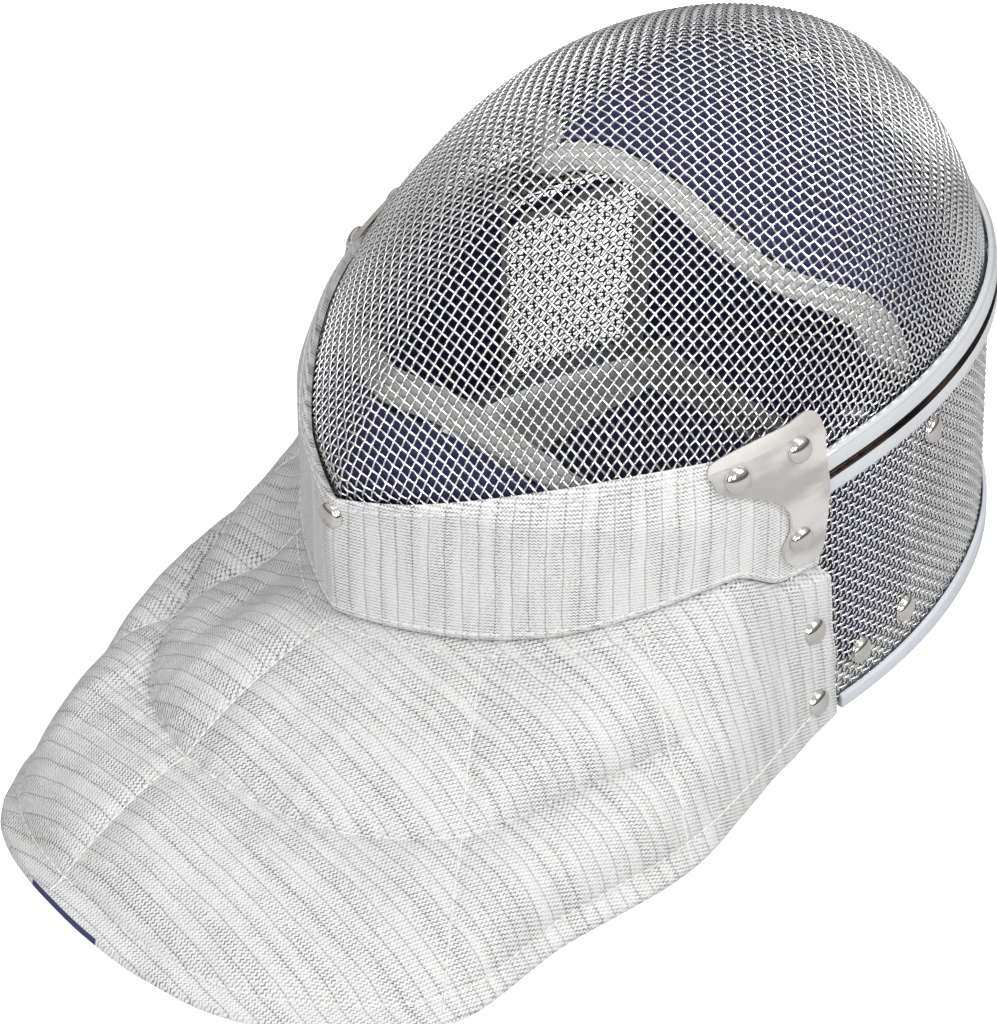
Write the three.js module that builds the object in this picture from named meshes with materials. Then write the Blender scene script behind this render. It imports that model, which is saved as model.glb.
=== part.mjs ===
// Fencing mask with a woven steel face and a padded knit bib, lying face up on its back opening.
// Millimetres, +Z up from the surface it lies on. +X is the wearer's left, -Y the bib, +Y the crown.
// Everything is worked out about the cheek axis, the level line from one cheek plate to the other.

import * as THREE from 'three';
import { mergeVertices } from 'three/addons/utils/BufferGeometryUtils.js';

// Driving dimensions
const CHEEK_HALF_WIDTH = 92.8;   // cheek axis to the dome's side, along X
const RIM_HEIGHT = 94.5;         // rim of the face dome above the surface
const RIDGE_POWER = 1.23;        // 1 is a sharp keel, 2 a round arch
const CROWN_POWER = 1.85;
const FLANK_POWER = 2.25;
const RIDGE_FADE_START = 60;     // degrees round the cheek axis
const RIDGE_FADE_END = 170;
const BAND_ANGLE = 182;          // the dome ends here, degrees round the cheek axis from the chin
const MESH_THICKNESS = 2;        // two wires that cross
const CHIN_REACH = 129.7;        // cheek axis to the upright chin wall
const CHIN_SPAN = 60;            // the chin wall lies well below this angle
const SKIRT_BOTTOM = 75;         // lower edge of the dome's chin wall, under the collar
const EDGE_HALF_WIDTH = 102.5;   // back opening, on the surface
const EDGE_REACH = 147;          // cheek axis to the crown end of the opening
const EDGE_POWER = 2.15;
const TONGUE_SPREAD = 2.8;       // length of strip for each degree past the cheek axis
const FIT_GAP = 0.4;
const NORMAL_STEP = 0.01;        // small step for the slope of a surface
const HALVINGS = 40;             // halvings of a range that is searched for a place
const ORIGIN_SHIFT_X = -9.1;     // ridge plane to the middle of the whole width
const ORIGIN_SHIFT_Y = 51.1;     // cheek axis to the middle of the whole length

const SEAM_BAND = {
  gap: 0.9,
  height: 17.8,
  lift: 5.5,
  foot: 2.5,
  thickness: 3.6,
  bead: 8,
  grooveTop: 1.7,
  grooveFloor: 1.2,
  groove: 1.8,
  endSweep: 89.2,
};
const BINDING = { height: 8.5, wall: 1.6, foot: 2.4, chamfer: 1, endSweep: 89.4 };
const COLLAR = {
  gap: 1.2,
  thickness: 2.2,
  topFront: 108.2,
  topRise: 14,
  topRate: 1.7,
  bottomFront: 66,
  bottomRise: 8,
  bottomRate: 1.4,
  plateDrop: 9,
  dropStart: 66,
  dropEnd: 78,
  endTurn: 87,
};
const BIB = {
  drop: 0.9,
  thickness: 4,
  quilt: 0.52,
  puff: 5.5,
  seamDip: 2.2,
  flatFrom: 5.8,
  flatBy: 6.6,
  end: 0.995,
};
const PLATE = { thickness: 1.5, standOff: 4 };
const RIVET = { radius: 4.6, height: 2.2, lift: 0.5, sides: 10 };
const PAD = {
  clearance: 1.1,
  thickness: 8,
  trimWidth: 5.6,
  trimGap: 1.2,
  trimThickness: 9,
  setBack: 13,
  setBackSpan: 36,
};

// Mid-plane profile of the dome: radius from the cheek axis at each angle up from the chin
const DOME_STEP = 30;
const DOME_PROFILE = [
  { angle: 0, radius: 137.5 },
  { angle: 30, radius: 116.8 },
  { angle: 60, radius: 110 },
  { angle: 90, radius: 113.8 },
  { angle: 120, radius: 124.5 },
  { angle: 150, radius: 137 },
  { angle: 180, radius: 153 },
];

// The bib from its rear edge on the right to the one on the left: a row for each fold, the hem's place
// and the plan angle where the fold leaves the collar, standing out by its flare. A seam pulls it in.
// The right half hangs steeper than the left half, which lies spread.
const BIB_FOLDS = [
  { topTurn: -88, flare: 8.8, hemX: -109.2, hemY: -5, hemZ: 5.5, seam: 0 },
  { topTurn: -68, flare: 5, hemX: -98, hemY: -52, hemZ: 5.5, seam: 0 },
  { topTurn: -48, flare: 2.6, hemX: -86, hemY: -108, hemZ: 6, seam: 1 },
  { topTurn: -35, flare: 2.6, hemX: -82, hemY: -148, hemZ: 6, seam: 0 },
  { topTurn: -22, flare: 2.6, hemX: -72, hemY: -189, hemZ: 6, seam: 1 },
  { topTurn: -15, flare: 2.6, hemX: -55, hemY: -228, hemZ: 9, seam: 0 },
  { topTurn: -8, flare: 2.6, hemX: -36, hemY: -248, hemZ: 13, seam: 0 },
  { topTurn: 0, flare: 2.6, hemX: 0, hemY: -259, hemZ: 17, seam: 1 },
  { topTurn: 8, flare: 2.6, hemX: 42, hemY: -257, hemZ: 12, seam: 0 },
  { topTurn: 15, flare: 2.6, hemX: 81, hemY: -241, hemZ: 7, seam: 0 },
  { topTurn: 22, flare: 2.6, hemX: 120, hemY: -199, hemZ: 5.5, seam: 1 },
  { topTurn: 35, flare: 2.6, hemX: 122, hemY: -148, hemZ: 5.5, seam: 0 },
  { topTurn: 48, flare: 2.6, hemX: 127, hemY: -94, hemZ: 5.5, seam: 1 },
  { topTurn: 68, flare: 5, hemX: 117, hemY: -46, hemZ: 5.5, seam: 0 },
  { topTurn: 88, flare: 8.8, hemX: 109.2, hemY: -5, hemZ: 5.5, seam: 0 },
];
const BIB_CENTRE = (BIB_FOLDS.length - 1) / 2;

// Cheek plate in the side view, a row for each station along its bent strip
const PLATE_STATIONS = [
  { outerY: -48.5, outerZ: 119.5, innerY: -46.5, innerZ: 112.5 },
  { outerY: -45.5, outerZ: 122.3, innerY: -42.5, innerZ: 110 },
  { outerY: -34, outerZ: 124.7, innerY: -36, innerZ: 107.5 },
  { outerY: -19, outerZ: 126.3, innerY: -29, innerZ: 103.5 },
  { outerY: -6.8, outerZ: 126.5, innerY: -23.5, innerZ: 98.5 },
  { outerY: -5.4, outerZ: 108, innerY: -20.8, innerZ: 93 },
  { outerY: -4.1, outerZ: 96, innerY: -20.2, innerZ: 86.5 },
  { outerY: -5, outerZ: 77, innerY: -23, innerZ: 80 },
  { outerY: -6.6, outerZ: 71, innerY: -21.5, innerZ: 75 },
  { outerY: -11, outerZ: 69.3, innerY: -17, innerZ: 70.8 },
];

// Rivets on the left side, in the side view
const PLATE_RIVETS = [
  { name: 'front', y: -39.6, z: 115.6 },
  { name: 'corner', y: -16.3, z: 117.7 },
  { name: 'low', y: -16.2, z: 81.7 },
];
const BIB_RIVETS = [
  { name: 'high', fold: 0.962, down: 0.32 },
  { name: 'low', fold: 0.959, down: 0.79 },
];
const STRIP_RIVETS = [
  { name: 'high', y: 58.7, z: 82 },
  { name: 'low', y: 39.5, z: 18.6 },
  { name: 'front', y: 14.2, z: 16.8 },
];

const FINISH = {
  wire: new THREE.MeshStandardMaterial({ color: 0xa9adb0, roughness: 0.4, metalness: 1 }),
  bright: new THREE.MeshStandardMaterial({ color: 0xd7dee4, roughness: 0.15, metalness: 1 }),
  steel: new THREE.MeshStandardMaterial({ color: 0xbebbb4, roughness: 0.35, metalness: 1 }),
  binding: new THREE.MeshStandardMaterial({ color: 0xcdd2d7, roughness: 0.5, metalness: 0 }),
  knit: new THREE.MeshStandardMaterial({ color: 0xd2d3d4, roughness: 0.8, metalness: 0 }),
  navy: new THREE.MeshStandardMaterial({ color: 0x2f2e5e, roughness: 0.9, metalness: 0 }),
  trim: new THREE.MeshStandardMaterial({ color: 0xc8c8c3, roughness: 0.8, metalness: 0 }),
};

const radians = THREE.MathUtils.degToRad;
const { lerp, smoothstep } = THREE.MathUtils;
const mask = new THREE.Group();
mask.position.set(ORIGIN_SHIFT_X, ORIGIN_SHIFT_Y, 0);

// Smooth value of one column of a table at a row number that may lie between two rows
function between(rows, column, place) {
  const last = rows.length - 1;
  const from = THREE.MathUtils.clamp(Math.floor(place), 0, last - 1);
  const t = place - from;
  const value = (row) => rows[THREE.MathUtils.clamp(row, 0, last)][column];
  const slope = (row) => (row === 0 || row === last
    ? value(Math.min(row + 1, last)) - value(Math.max(row - 1, 0))
    : (value(row + 1) - value(row - 1)) / 2);
  const [a, b] = [value(from), value(from + 1)];
  const rise = (t ** 3 - 2 * t * t + t) * slope(from) + (t ** 3 - t * t) * slope(from + 1);
  return (2 * t ** 3 - 3 * t * t + 1) * a + (3 * t * t - 2 * t ** 3) * b + rise;
}

function domeRadius(angle) {
  const chinWall = CHIN_REACH / Math.cos(radians(Math.min(angle, CHIN_SPAN)));
  return Math.min(between(DOME_PROFILE, 'radius', angle / DOME_STEP), chinWall);
}

function archPower(angle) {
  return lerp(RIDGE_POWER, CROWN_POWER, smoothstep(angle, RIDGE_FADE_START, RIDGE_FADE_END));
}

// Half width of the dome where the distance from the cheek axis is a share of its profile radius
function archWidth(share, angle) {
  const drop = 1 - Math.min(share, 1) ** FLANK_POWER;
  return CHEEK_HALF_WIDTH * drop ** (1 / archPower(angle));
}

// Dome point at an angle round the cheek axis and a sweep of -90 to 90 degrees from side to side
function domePoint(angle, sweep) {
  const share = Math.max(Math.cos(radians(sweep)), 0);
  const reach = domeRadius(angle) * share;
  const side = Math.sign(sweep) * archWidth(share, angle);
  const turn = radians(angle);
  return new THREE.Vector3(side, -reach * Math.cos(turn), RIM_HEIGHT + reach * Math.sin(turn));
}

// Half width of the dome, or of the chin wall under its rim, at a place in the side view
function wallWidth(y, z) {
  const up = Math.max(z - RIM_HEIGHT, 0);
  const angle = THREE.MathUtils.radToDeg(Math.atan2(up, -y));
  return archWidth(Math.hypot(y, up) / domeRadius(angle), angle);
}

// Plan radius of that wall at a height, in a direction turned from the chin
const FARTHEST = 200;
function planRadius(turn, z) {
  const [sin, cos] = [Math.sin(radians(turn)), Math.cos(radians(turn))];
  let [inside, outside] = [0, FARTHEST];
  for (let step = 0; step < HALVINGS; step += 1) {
    const reach = (inside + outside) / 2;
    const isInside = Math.abs(reach * sin) < wallWidth(-reach * cos, z);
    [inside, outside] = isInside ? [reach, outside] : [inside, reach];
  }
  return inside;
}

function planPoint(turn, z, offset) {
  const reach = planRadius(turn, z) + offset;
  return new THREE.Vector3(reach * Math.sin(radians(turn)), -reach * Math.cos(radians(turn)), z);
}

// Strip behind the dome: sweep runs round the crown, down runs from the band to the opening,
// and past the cheek axis it goes straight on towards the bib
function stripPoint(sweep, down) {
  const turn = THREE.MathUtils.clamp(sweep, -90, 90);
  const top = domePoint(BAND_ANGLE, turn);
  const [sin, cos] = [Math.abs(Math.sin(radians(turn))), Math.cos(radians(turn))];
  const side = Math.sign(turn) * EDGE_HALF_WIDTH * sin ** (2 / EDGE_POWER);
  const low = new THREE.Vector3(side, EDGE_REACH * Math.max(cos, 0) ** (2 / EDGE_POWER), 0);
  const point = top.lerp(low, down);
  point.y -= TONGUE_SPREAD * Math.abs(sweep - turn);
  return point;
}

// Unit normal of a surface of two parameters, from small steps along each
function normalAt(surface, u, v, step) {
  const along = surface(u + step, v).sub(surface(u - step, v));
  const across = surface(u, v + step).sub(surface(u, v - step));
  return along.cross(across).normalize();
}

// Closed solid from a list of vertices and triangles, with doubles merged and empty faces dropped
const MERGE_DISTANCE = 1e-3;
function solid(vertices, triangles) {
  const loose = new THREE.BufferGeometry();
  const positions = vertices.flatMap((point) => point.toArray());
  loose.setAttribute('position', new THREE.Float32BufferAttribute(positions, 3));
  loose.setIndex(triangles.flat());
  const merged = mergeVertices(loose, MERGE_DISTANCE);
  const index = merged.getIndex().array;
  const kept = [];
  for (let at = 0; at < index.length; at += 3) {
    const [a, b, c] = index.slice(at, at + 3);
    if (a !== b && b !== c && c !== a) kept.push(a, b, c);
  }
  merged.setIndex(kept);
  if (volumeOf(merged) < 0) {
    for (let at = 0; at < kept.length; at += 3) [kept[at], kept[at + 1]] = [kept[at + 1], kept[at]];
    merged.setIndex(kept);
  }
  merged.computeVertexNormals();
  return merged;
}

function volumeOf(geometry) {
  const place = geometry.getAttribute('position');
  const index = geometry.getIndex().array;
  const corner = (at) => new THREE.Vector3().fromBufferAttribute(place, index[at]);
  let sum = 0;
  for (let at = 0; at < index.length; at += 3) {
    sum += corner(at).dot(corner(at + 1).cross(corner(at + 2)));
  }
  return sum;
}

// Wall between an outer and an inner sheet, each a function of two shares from 0 to 1
function wall(outer, inner, uSteps, vSteps) {
  const vertices = [];
  const triangles = [];
  const row = vSteps + 1;
  const sheet = row * (uSteps + 1);
  for (const side of [outer, inner]) {
    for (let i = 0; i <= uSteps; i += 1) {
      for (let j = 0; j <= vSteps; j += 1) vertices.push(side(i / uSteps, j / vSteps));
    }
  }
  const quad = (a, b, c, d) => triangles.push([a, b, c], [a, c, d]);
  for (let i = 0; i < uSteps; i += 1) {
    for (let j = 0; j < vSteps; j += 1) {
      const at = i * row + j;
      quad(at, at + row, at + row + 1, at + 1);
      quad(sheet + at, sheet + at + 1, sheet + at + row + 1, sheet + at + row);
    }
  }
  const rim = (a, b) => quad(a, b, sheet + b, sheet + a);
  for (let j = 0; j < vSteps; j += 1) {
    rim(j, j + 1);
    rim(uSteps * row + j + 1, uSteps * row + j);
  }
  for (let i = 0; i < uSteps; i += 1) {
    rim((i + 1) * row, i * row);
    rim(i * row + vSteps, (i + 1) * row + vSteps);
  }
  return solid(vertices, triangles);
}

// Bar of a closed section swept through frames that each turn a section point into a place
function sweptBar(section, frames) {
  const vertices = frames.flatMap((place) => section.map(([out, up]) => place(out, up)));
  const triangles = [];
  const size = section.length;
  for (let i = 0; i + 1 < frames.length; i += 1) {
    for (let j = 0; j < size; j += 1) {
      const next = (j + 1) % size;
      const [a, b] = [i * size + j, i * size + next];
      triangles.push([a, b, b + size], [a, b + size, a + size]);
    }
  }
  const cap = THREE.ShapeUtils.triangulateShape(section.map(([x, y]) => new THREE.Vector2(x, y)), []);
  const end = (frames.length - 1) * size;
  for (const [a, b, c] of cap) {
    triangles.push([a, c, b], [end + a, end + b, end + c]);
  }
  return solid(vertices, triangles);
}

function addPiece(name, geometry, material) {
  const piece = new THREE.Mesh(geometry, material);
  piece.name = name;
  mask.add(piece);
  return piece;
}

const SIDES = [{ word: 'left', sign: 1 }, { word: 'right', sign: -1 }];

// Unit normal of the dome, away from the head
const PROBE_STEP = 0.4;
const DOME_SIGN = Math.sign(normalAt(domePoint, 90, 10, PROBE_STEP).z);
function domeNormal(angle, side) {
  const isPole = Math.abs(side) > 90 - PROBE_STEP;
  if (isPole) return new THREE.Vector3(Math.sign(side), 0, 0);
  return normalAt(domePoint, angle, side, PROBE_STEP).multiplyScalar(DOME_SIGN);
}

// Face dome with its chin wall
const DOME_ROWS = 26;
const DOME_COLUMNS = 28;
const SKIRT_SHARE = 2 / DOME_ROWS;
function domeSheet(offset) {
  return (u, v) => {
    const side = lerp(-90, 90, v);
    const angle = Math.max(0, (u - SKIRT_SHARE) / (1 - SKIRT_SHARE)) * BAND_ANGLE;
    const point = domePoint(angle, side);
    const normal = domeNormal(angle, side);
    if (u < SKIRT_SHARE) {
      normal.z = 0;
      normal.normalize();
      point.z = lerp(SKIRT_BOTTOM, RIM_HEIGHT, u / SKIRT_SHARE);
    }
    return point.addScaledVector(normal, offset);
  };
}
const domeWall = wall(domeSheet(0), domeSheet(-MESH_THICKNESS), DOME_ROWS, DOME_COLUMNS);
addPiece('front_mesh', domeWall, FINISH.wire);

// Strip of the same wire round the head, from the bright band down into the binding. Its front ends
// pass behind the rear edges of the bib, below the chin wall.
const STRIP_TOP = 0.012;
const STRIP_BOTTOM = 0.96;
const STRIP_TONGUE_TOP = 0.36;
const STRIP_CORNER = 89.4;
const STRIP_TONGUE = 94;
const STRIP_CELLS = 40;
const STRIP_ROWS = 4;
function stripColumns() {
  const columns = [-STRIP_TONGUE, -90];
  for (let at = 0; at <= STRIP_CELLS; at += 1) {
    columns.push(lerp(-STRIP_CORNER, STRIP_CORNER, at / STRIP_CELLS));
  }
  return [...columns, 90, STRIP_TONGUE];
}
const STRIP_SWEEPS = stripColumns();
function stripSheet(offset) {
  return (u, v) => {
    const side = STRIP_SWEEPS[Math.round(u * (STRIP_SWEEPS.length - 1))];
    const top = Math.abs(side) > STRIP_CORNER ? STRIP_TONGUE_TOP : STRIP_TOP;
    const down = lerp(top, STRIP_BOTTOM, v);
    const normal = normalAt(stripPoint, side, down, NORMAL_STEP);
    normal.multiplyScalar(Math.sign(normal.y + Math.sign(side) * normal.x));
    return stripPoint(side, down).addScaledVector(normal, offset);
  };
}
const stripWall = wall(stripSheet(0), stripSheet(-MESH_THICKNESS), STRIP_SWEEPS.length - 1, STRIP_ROWS);
addPiece('side_mesh', stripWall, FINISH.wire);

// A place on the strip and the level direction out of it, square to its run
const FRAME_STEP = 0.5;
const BAR_STEPS = 44;
function stripFrame(side, down) {
  const point = stripPoint(side, down);
  const along = stripPoint(side + FRAME_STEP, down).sub(stripPoint(side - FRAME_STEP, down));
  const level = new THREE.Vector3(along.y, -along.x, 0).normalize();
  level.multiplyScalar(Math.sign(level.y + Math.sign(side) * level.x));
  return { point, level };
}

function bandFrames() {
  return Array.from({ length: BAR_STEPS + 1 }, (_, step) => {
    const side = lerp(-SEAM_BAND.endSweep, SEAM_BAND.endSweep, step / BAR_STEPS);
    const { point, level } = stripFrame(side, 0);
    return (out, height) => {
      const place = point.clone().addScaledVector(level, out);
      place.z += SEAM_BAND.lift + height;
      return place;
    };
  });
}

// Bright band over the joint: two rounded beads with a groove between them
const BAND_SECTION = [
  [SEAM_BAND.gap, -SEAM_BAND.height / 2],
  [SEAM_BAND.foot, -SEAM_BAND.height / 2],
  [SEAM_BAND.thickness, -SEAM_BAND.bead],
  [SEAM_BAND.thickness, -SEAM_BAND.grooveTop],
  [SEAM_BAND.groove, -SEAM_BAND.grooveFloor],
  [SEAM_BAND.groove, SEAM_BAND.grooveFloor],
  [SEAM_BAND.thickness, SEAM_BAND.grooveTop],
  [SEAM_BAND.thickness, SEAM_BAND.bead],
  [SEAM_BAND.foot, SEAM_BAND.height / 2],
  [SEAM_BAND.gap, SEAM_BAND.height / 2],
];
addPiece('seam_band', sweptBar(BAND_SECTION, bandFrames()), FINISH.bright);

// Pale binding folded round the lower edge of the strip, flat where it lies on the surface
const SLOT = MESH_THICKNESS + FIT_GAP;
const BINDING_SECTION = [
  [-SLOT - BINDING.wall, 0],
  [FIT_GAP + BINDING.wall, 0],
  [FIT_GAP + BINDING.wall, BINDING.height - BINDING.chamfer],
  [FIT_GAP, BINDING.height],
  [FIT_GAP, BINDING.foot],
  [-SLOT, BINDING.foot],
  [-SLOT, BINDING.height],
  [-SLOT - BINDING.wall, BINDING.height - BINDING.chamfer],
];
function bindingFrames() {
  return Array.from({ length: BAR_STEPS + 1 }, (_, step) => {
    const side = lerp(-BINDING.endSweep, BINDING.endSweep, step / BAR_STEPS);
    return (out, height) => {
      const { point, level } = stripFrame(side, 1 - height / RIM_HEIGHT);
      point.z = height;
      return point.addScaledVector(level, out);
    };
  });
}
addPiece('edge_binding', sweptBar(BINDING_SECTION, bindingFrames()), FINISH.binding);

// Knit collar over the lower dome and the chin wall
const COLLAR_COLUMNS = 40;
const COLLAR_ROWS = 4;
function collarTop(turn) {
  return COLLAR.topFront + COLLAR.topRise * Math.sin(radians(Math.abs(turn) * COLLAR.topRate));
}
function collarBottom(turn) {
  const rise = COLLAR.bottomRise * Math.sin(radians(turn * COLLAR.bottomRate)) ** 2;
  const drop = COLLAR.plateDrop * smoothstep(Math.abs(turn), COLLAR.dropStart, COLLAR.dropEnd);
  return COLLAR.bottomFront + rise - drop;
}
function collarSheet(offset) {
  return (u, v) => {
    const turn = lerp(-COLLAR.endTurn, COLLAR.endTurn, u);
    return planPoint(turn, lerp(collarBottom(turn), collarTop(turn), v), offset);
  };
}
const COLLAR_OUT = COLLAR.gap + COLLAR.thickness;
const collarWall = wall(collarSheet(COLLAR_OUT), collarSheet(COLLAR.gap), COLLAR_COLUMNS, COLLAR_ROWS);
addPiece('collar', collarWall, FINISH.knit);

// Padded bib: straight folds from the collar to the hem, puffed between the seams and the quilting
function bibPoint(across, down, offset) {
  const place = (1 + across) * BIB_CENTRE;
  const turn = between(BIB_FOLDS, 'topTurn', place);
  const top = planPoint(turn, collarBottom(turn) - BIB.drop, between(BIB_FOLDS, 'flare', place));
  const hem = new THREE.Vector3(
    between(BIB_FOLDS, 'hemX', place),
    between(BIB_FOLDS, 'hemY', place),
    between(BIB_FOLDS, 'hemZ', place),
  );
  const outwards = new THREE.Vector3(hem.x - top.x, hem.y - top.y, 0).normalize();
  outwards.x += Math.sin(radians(turn));
  outwards.y -= Math.cos(radians(turn));
  outwards.normalize();
  const tilt = Math.atan2(top.z - hem.z, Math.hypot(hem.x - top.x, hem.y - top.y));
  const normal = outwards.multiplyScalar(Math.sin(tilt));
  normal.z = Math.cos(tilt);
  const panel = down < BIB.quilt ? down / BIB.quilt : (down - BIB.quilt) / (1 - BIB.quilt);
  const flatRear = 1 - smoothstep(Math.abs(across) * BIB_CENTRE, BIB.flatFrom, BIB.flatBy);
  const swell = flatRear * (BIB.puff - BIB.seamDip * between(BIB_FOLDS, 'seam', place));
  const lift = offset + swell * Math.sin(Math.PI * panel);
  return top.lerp(hem, down).addScaledVector(normal, lift);
}
const BIB_COLUMNS = 48;
const BIB_ROWS = 10;
const bibSheet = (offset) => (u, v) => bibPoint(lerp(-BIB.end, BIB.end, u), v, offset);
addPiece('bib', wall(bibSheet(0), bibSheet(-BIB.thickness), BIB_COLUMNS, BIB_ROWS), FINISH.knit);

// Bent steel plates on the cheeks
const PLATE_COLUMNS = 18;
const PLATE_ROWS = 3;
function plateSheet(sign, offset) {
  return (u, v) => {
    const station = (column) => between(PLATE_STATIONS, column, u * (PLATE_STATIONS.length - 1));
    const y = lerp(station('outerY'), station('innerY'), v);
    const z = lerp(station('outerZ'), station('innerZ'), v);
    return new THREE.Vector3(sign * (wallWidth(y, z) + PLATE.standOff + offset), y, z);
  };
}
for (const { word, sign } of SIDES) {
  const plate = wall(plateSheet(sign, PLATE.thickness), plateSheet(sign, 0), PLATE_COLUMNS, PLATE_ROWS);
  addPiece(`corner_plate_${word}`, plate, FINISH.steel);
}

// Domed rivets, each with its flat back on what it holds
const RIVET_PROFILE = [
  { radius: 0, height: 0 },
  { radius: 1, height: 0 },
  { radius: 0.94, height: 0.5 },
  { radius: 0.6, height: 0.9 },
  { radius: 0, height: 1 },
];
const RIVET_OUTLINE = RIVET_PROFILE.map(
  ({ radius, height }) => new THREE.Vector2(radius * RIVET.radius, height * RIVET.height),
);
function addRivet(name, seat, normal) {
  const dome = new THREE.LatheGeometry(RIVET_OUTLINE, RIVET.sides).rotateX(Math.PI / 2);
  const points = [];
  const place = dome.getAttribute('position');
  for (let at = 0; at < place.count; at += 1) {
    points.push(new THREE.Vector3().fromBufferAttribute(place, at));
  }
  const index = Array.from(dome.getIndex().array);
  const faces = [];
  for (let at = 0; at < index.length; at += 3) faces.push(index.slice(at, at + 3));
  const rivet = addPiece(name, solid(points, faces), FINISH.bright);
  rivet.position.copy(seat);
  rivet.quaternion.setFromUnitVectors(new THREE.Vector3(0, 0, 1), normal);
}

// Each rivet is lifted by the most that a curved seat rises over its flat back
const RIVET_PROBE = 1;
for (const { word, sign } of SIDES) {
  for (const { name, y, z } of PLATE_RIVETS) {
    const surface = (a, b) => new THREE.Vector3(sign * wallWidth(a, b), a, b);
    const normal = normalAt(surface, y, z, RIVET_PROBE);
    normal.multiplyScalar(sign * Math.sign(normal.x));
    const seat = surface(y, z);
    seat.x += sign * (PLATE.standOff + PLATE.thickness);
    addRivet(`plate_rivet_${name}_${word}`, seat.addScaledVector(normal, RIVET.lift), normal);
  }
  for (const { name, fold, down } of BIB_RIVETS) {
    const surface = (a, b) => bibPoint(sign * a, b, 0);
    const normal = normalAt(surface, fold, down, NORMAL_STEP);
    normal.multiplyScalar(sign * Math.sign(normal.x));
    const seat = surface(fold, down).addScaledVector(normal, RIVET.lift);
    addRivet(`bib_rivet_${name}_${word}`, seat, normal);
  }
  for (const { name, y, z } of STRIP_RIVETS) {
    const down = 1 - z / RIM_HEIGHT;
    const ahead = (angle) => stripPoint(sign * angle, down).y;
    let [near, far] = [0, 90];
    for (let step = 0; step < HALVINGS; step += 1) {
      const middle = (near + far) / 2;
      [near, far] = ahead(middle) > y ? [middle, far] : [near, middle];
    }
    const normal = normalAt(stripPoint, sign * near, down, NORMAL_STEP);
    normal.multiplyScalar(sign * Math.sign(normal.x));
    const seat = stripPoint(sign * near, down).addScaledVector(normal, RIVET.lift);
    addRivet(`strip_rivet_${name}_${word}`, seat, normal);
  }
}
const CHIN_RIVET_Z = 101.3;
const CHIN_PROBE = 2;
const chinAbove = planPoint(0, CHIN_RIVET_Z + CHIN_PROBE, COLLAR_OUT);
const chinSlope = chinAbove.sub(planPoint(0, CHIN_RIVET_Z - CHIN_PROBE, COLLAR_OUT));
const chinNormal = new THREE.Vector3(0, -chinSlope.z, chinSlope.y).normalize();
const chinSeat = planPoint(0, CHIN_RIVET_Z, COLLAR_OUT).addScaledVector(chinNormal, RIVET.lift);
addRivet('chin_rivet', chinSeat, chinNormal);

// Lining pads just inside the wire, in angle round the cheek axis and share of the half width
const FOREHEAD = {
  side: 0.9,
  end: 160,
  edge: 65.6,
  edgeRise: 20,
  cheekRise: 85,
  cheekPower: 10,
  back: 77,
  backRise: 108,
  rows: 9,
  columns: 36,
};
const FOREHEAD_TRIM = { side: 0.95, columns: 38, spread: 0.055, end: 166 };
const CHIN = { side: 0.8, start: 2, edge: 26, edgeDrop: 35, flatShare: 0.15, rows: 4, columns: 18 };
const TRIM_ROWS = 1;

function foreheadEdge(share) {
  const cheek = FOREHEAD.cheekRise * share ** FOREHEAD.cheekPower;
  return FOREHEAD.edge + FOREHEAD.edgeRise * Math.sqrt(share) + cheek;
}

function foreheadTrimTop(share) {
  const beside = share + FOREHEAD_TRIM.spread * share ** 2;
  return Math.min(foreheadEdge(beside) + PAD.trimWidth, FOREHEAD_TRIM.end);
}

function chinEdge(share) {
  return CHIN.edge - CHIN.edgeDrop * Math.max(0, share - CHIN.flatShare) ** 2;
}

function liningPoint(angle, share, depth) {
  const across = Math.abs(share);
  const reachShare = (1 - across ** archPower(angle)) ** (1 / FLANK_POWER);
  const reach = (domeRadius(angle) - MESH_THICKNESS - depth) * reachShare;
  const turn = radians(angle);
  return new THREE.Vector3(
    share * (CHEEK_HALF_WIDTH - MESH_THICKNESS - depth),
    -reach * Math.cos(turn),
    RIM_HEIGHT + reach * Math.sin(turn),
  );
}

// The forehead pad lies against the wire along its edge and falls back from it towards the crown
function foreheadDepth(angle, share) {
  const start = FOREHEAD.back + FOREHEAD.backRise * share;
  return PAD.clearance + PAD.setBack * smoothstep(angle, start, start + PAD.setBackSpan);
}
const flushDepth = () => PAD.clearance;

function lining({ side, low, high, depth, thickness, rows, columns }) {
  const sheet = (extra) => (u, v) => {
    const share = lerp(-side, side, v);
    const angle = lerp(low(Math.abs(share)), high(Math.abs(share)), u);
    return liningPoint(angle, share, depth(angle, Math.abs(share)) + extra);
  };
  return wall(sheet(0), sheet(thickness), rows, columns);
}

addPiece('forehead_trim', lining({
  ...FOREHEAD_TRIM,
  low: foreheadEdge,
  high: foreheadTrimTop,
  depth: flushDepth,
  thickness: PAD.trimThickness,
  rows: TRIM_ROWS,
}), FINISH.trim);
addPiece('forehead_pad', lining({
  ...FOREHEAD,
  low: (share) => foreheadTrimTop(share) + PAD.trimGap,
  high: () => FOREHEAD.end,
  depth: foreheadDepth,
  thickness: PAD.thickness,
}), FINISH.navy);
addPiece('chin_trim', lining({
  ...CHIN,
  low: (share) => chinEdge(share) - PAD.trimWidth,
  high: chinEdge,
  depth: flushDepth,
  thickness: PAD.trimThickness,
  rows: TRIM_ROWS,
}), FINISH.trim);
addPiece('chin_pad', lining({
  ...CHIN,
  low: () => CHIN.start,
  high: (share) => chinEdge(share) - PAD.trimWidth - PAD.trimGap,
  depth: flushDepth,
  thickness: PAD.thickness,
}), FINISH.navy);

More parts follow.
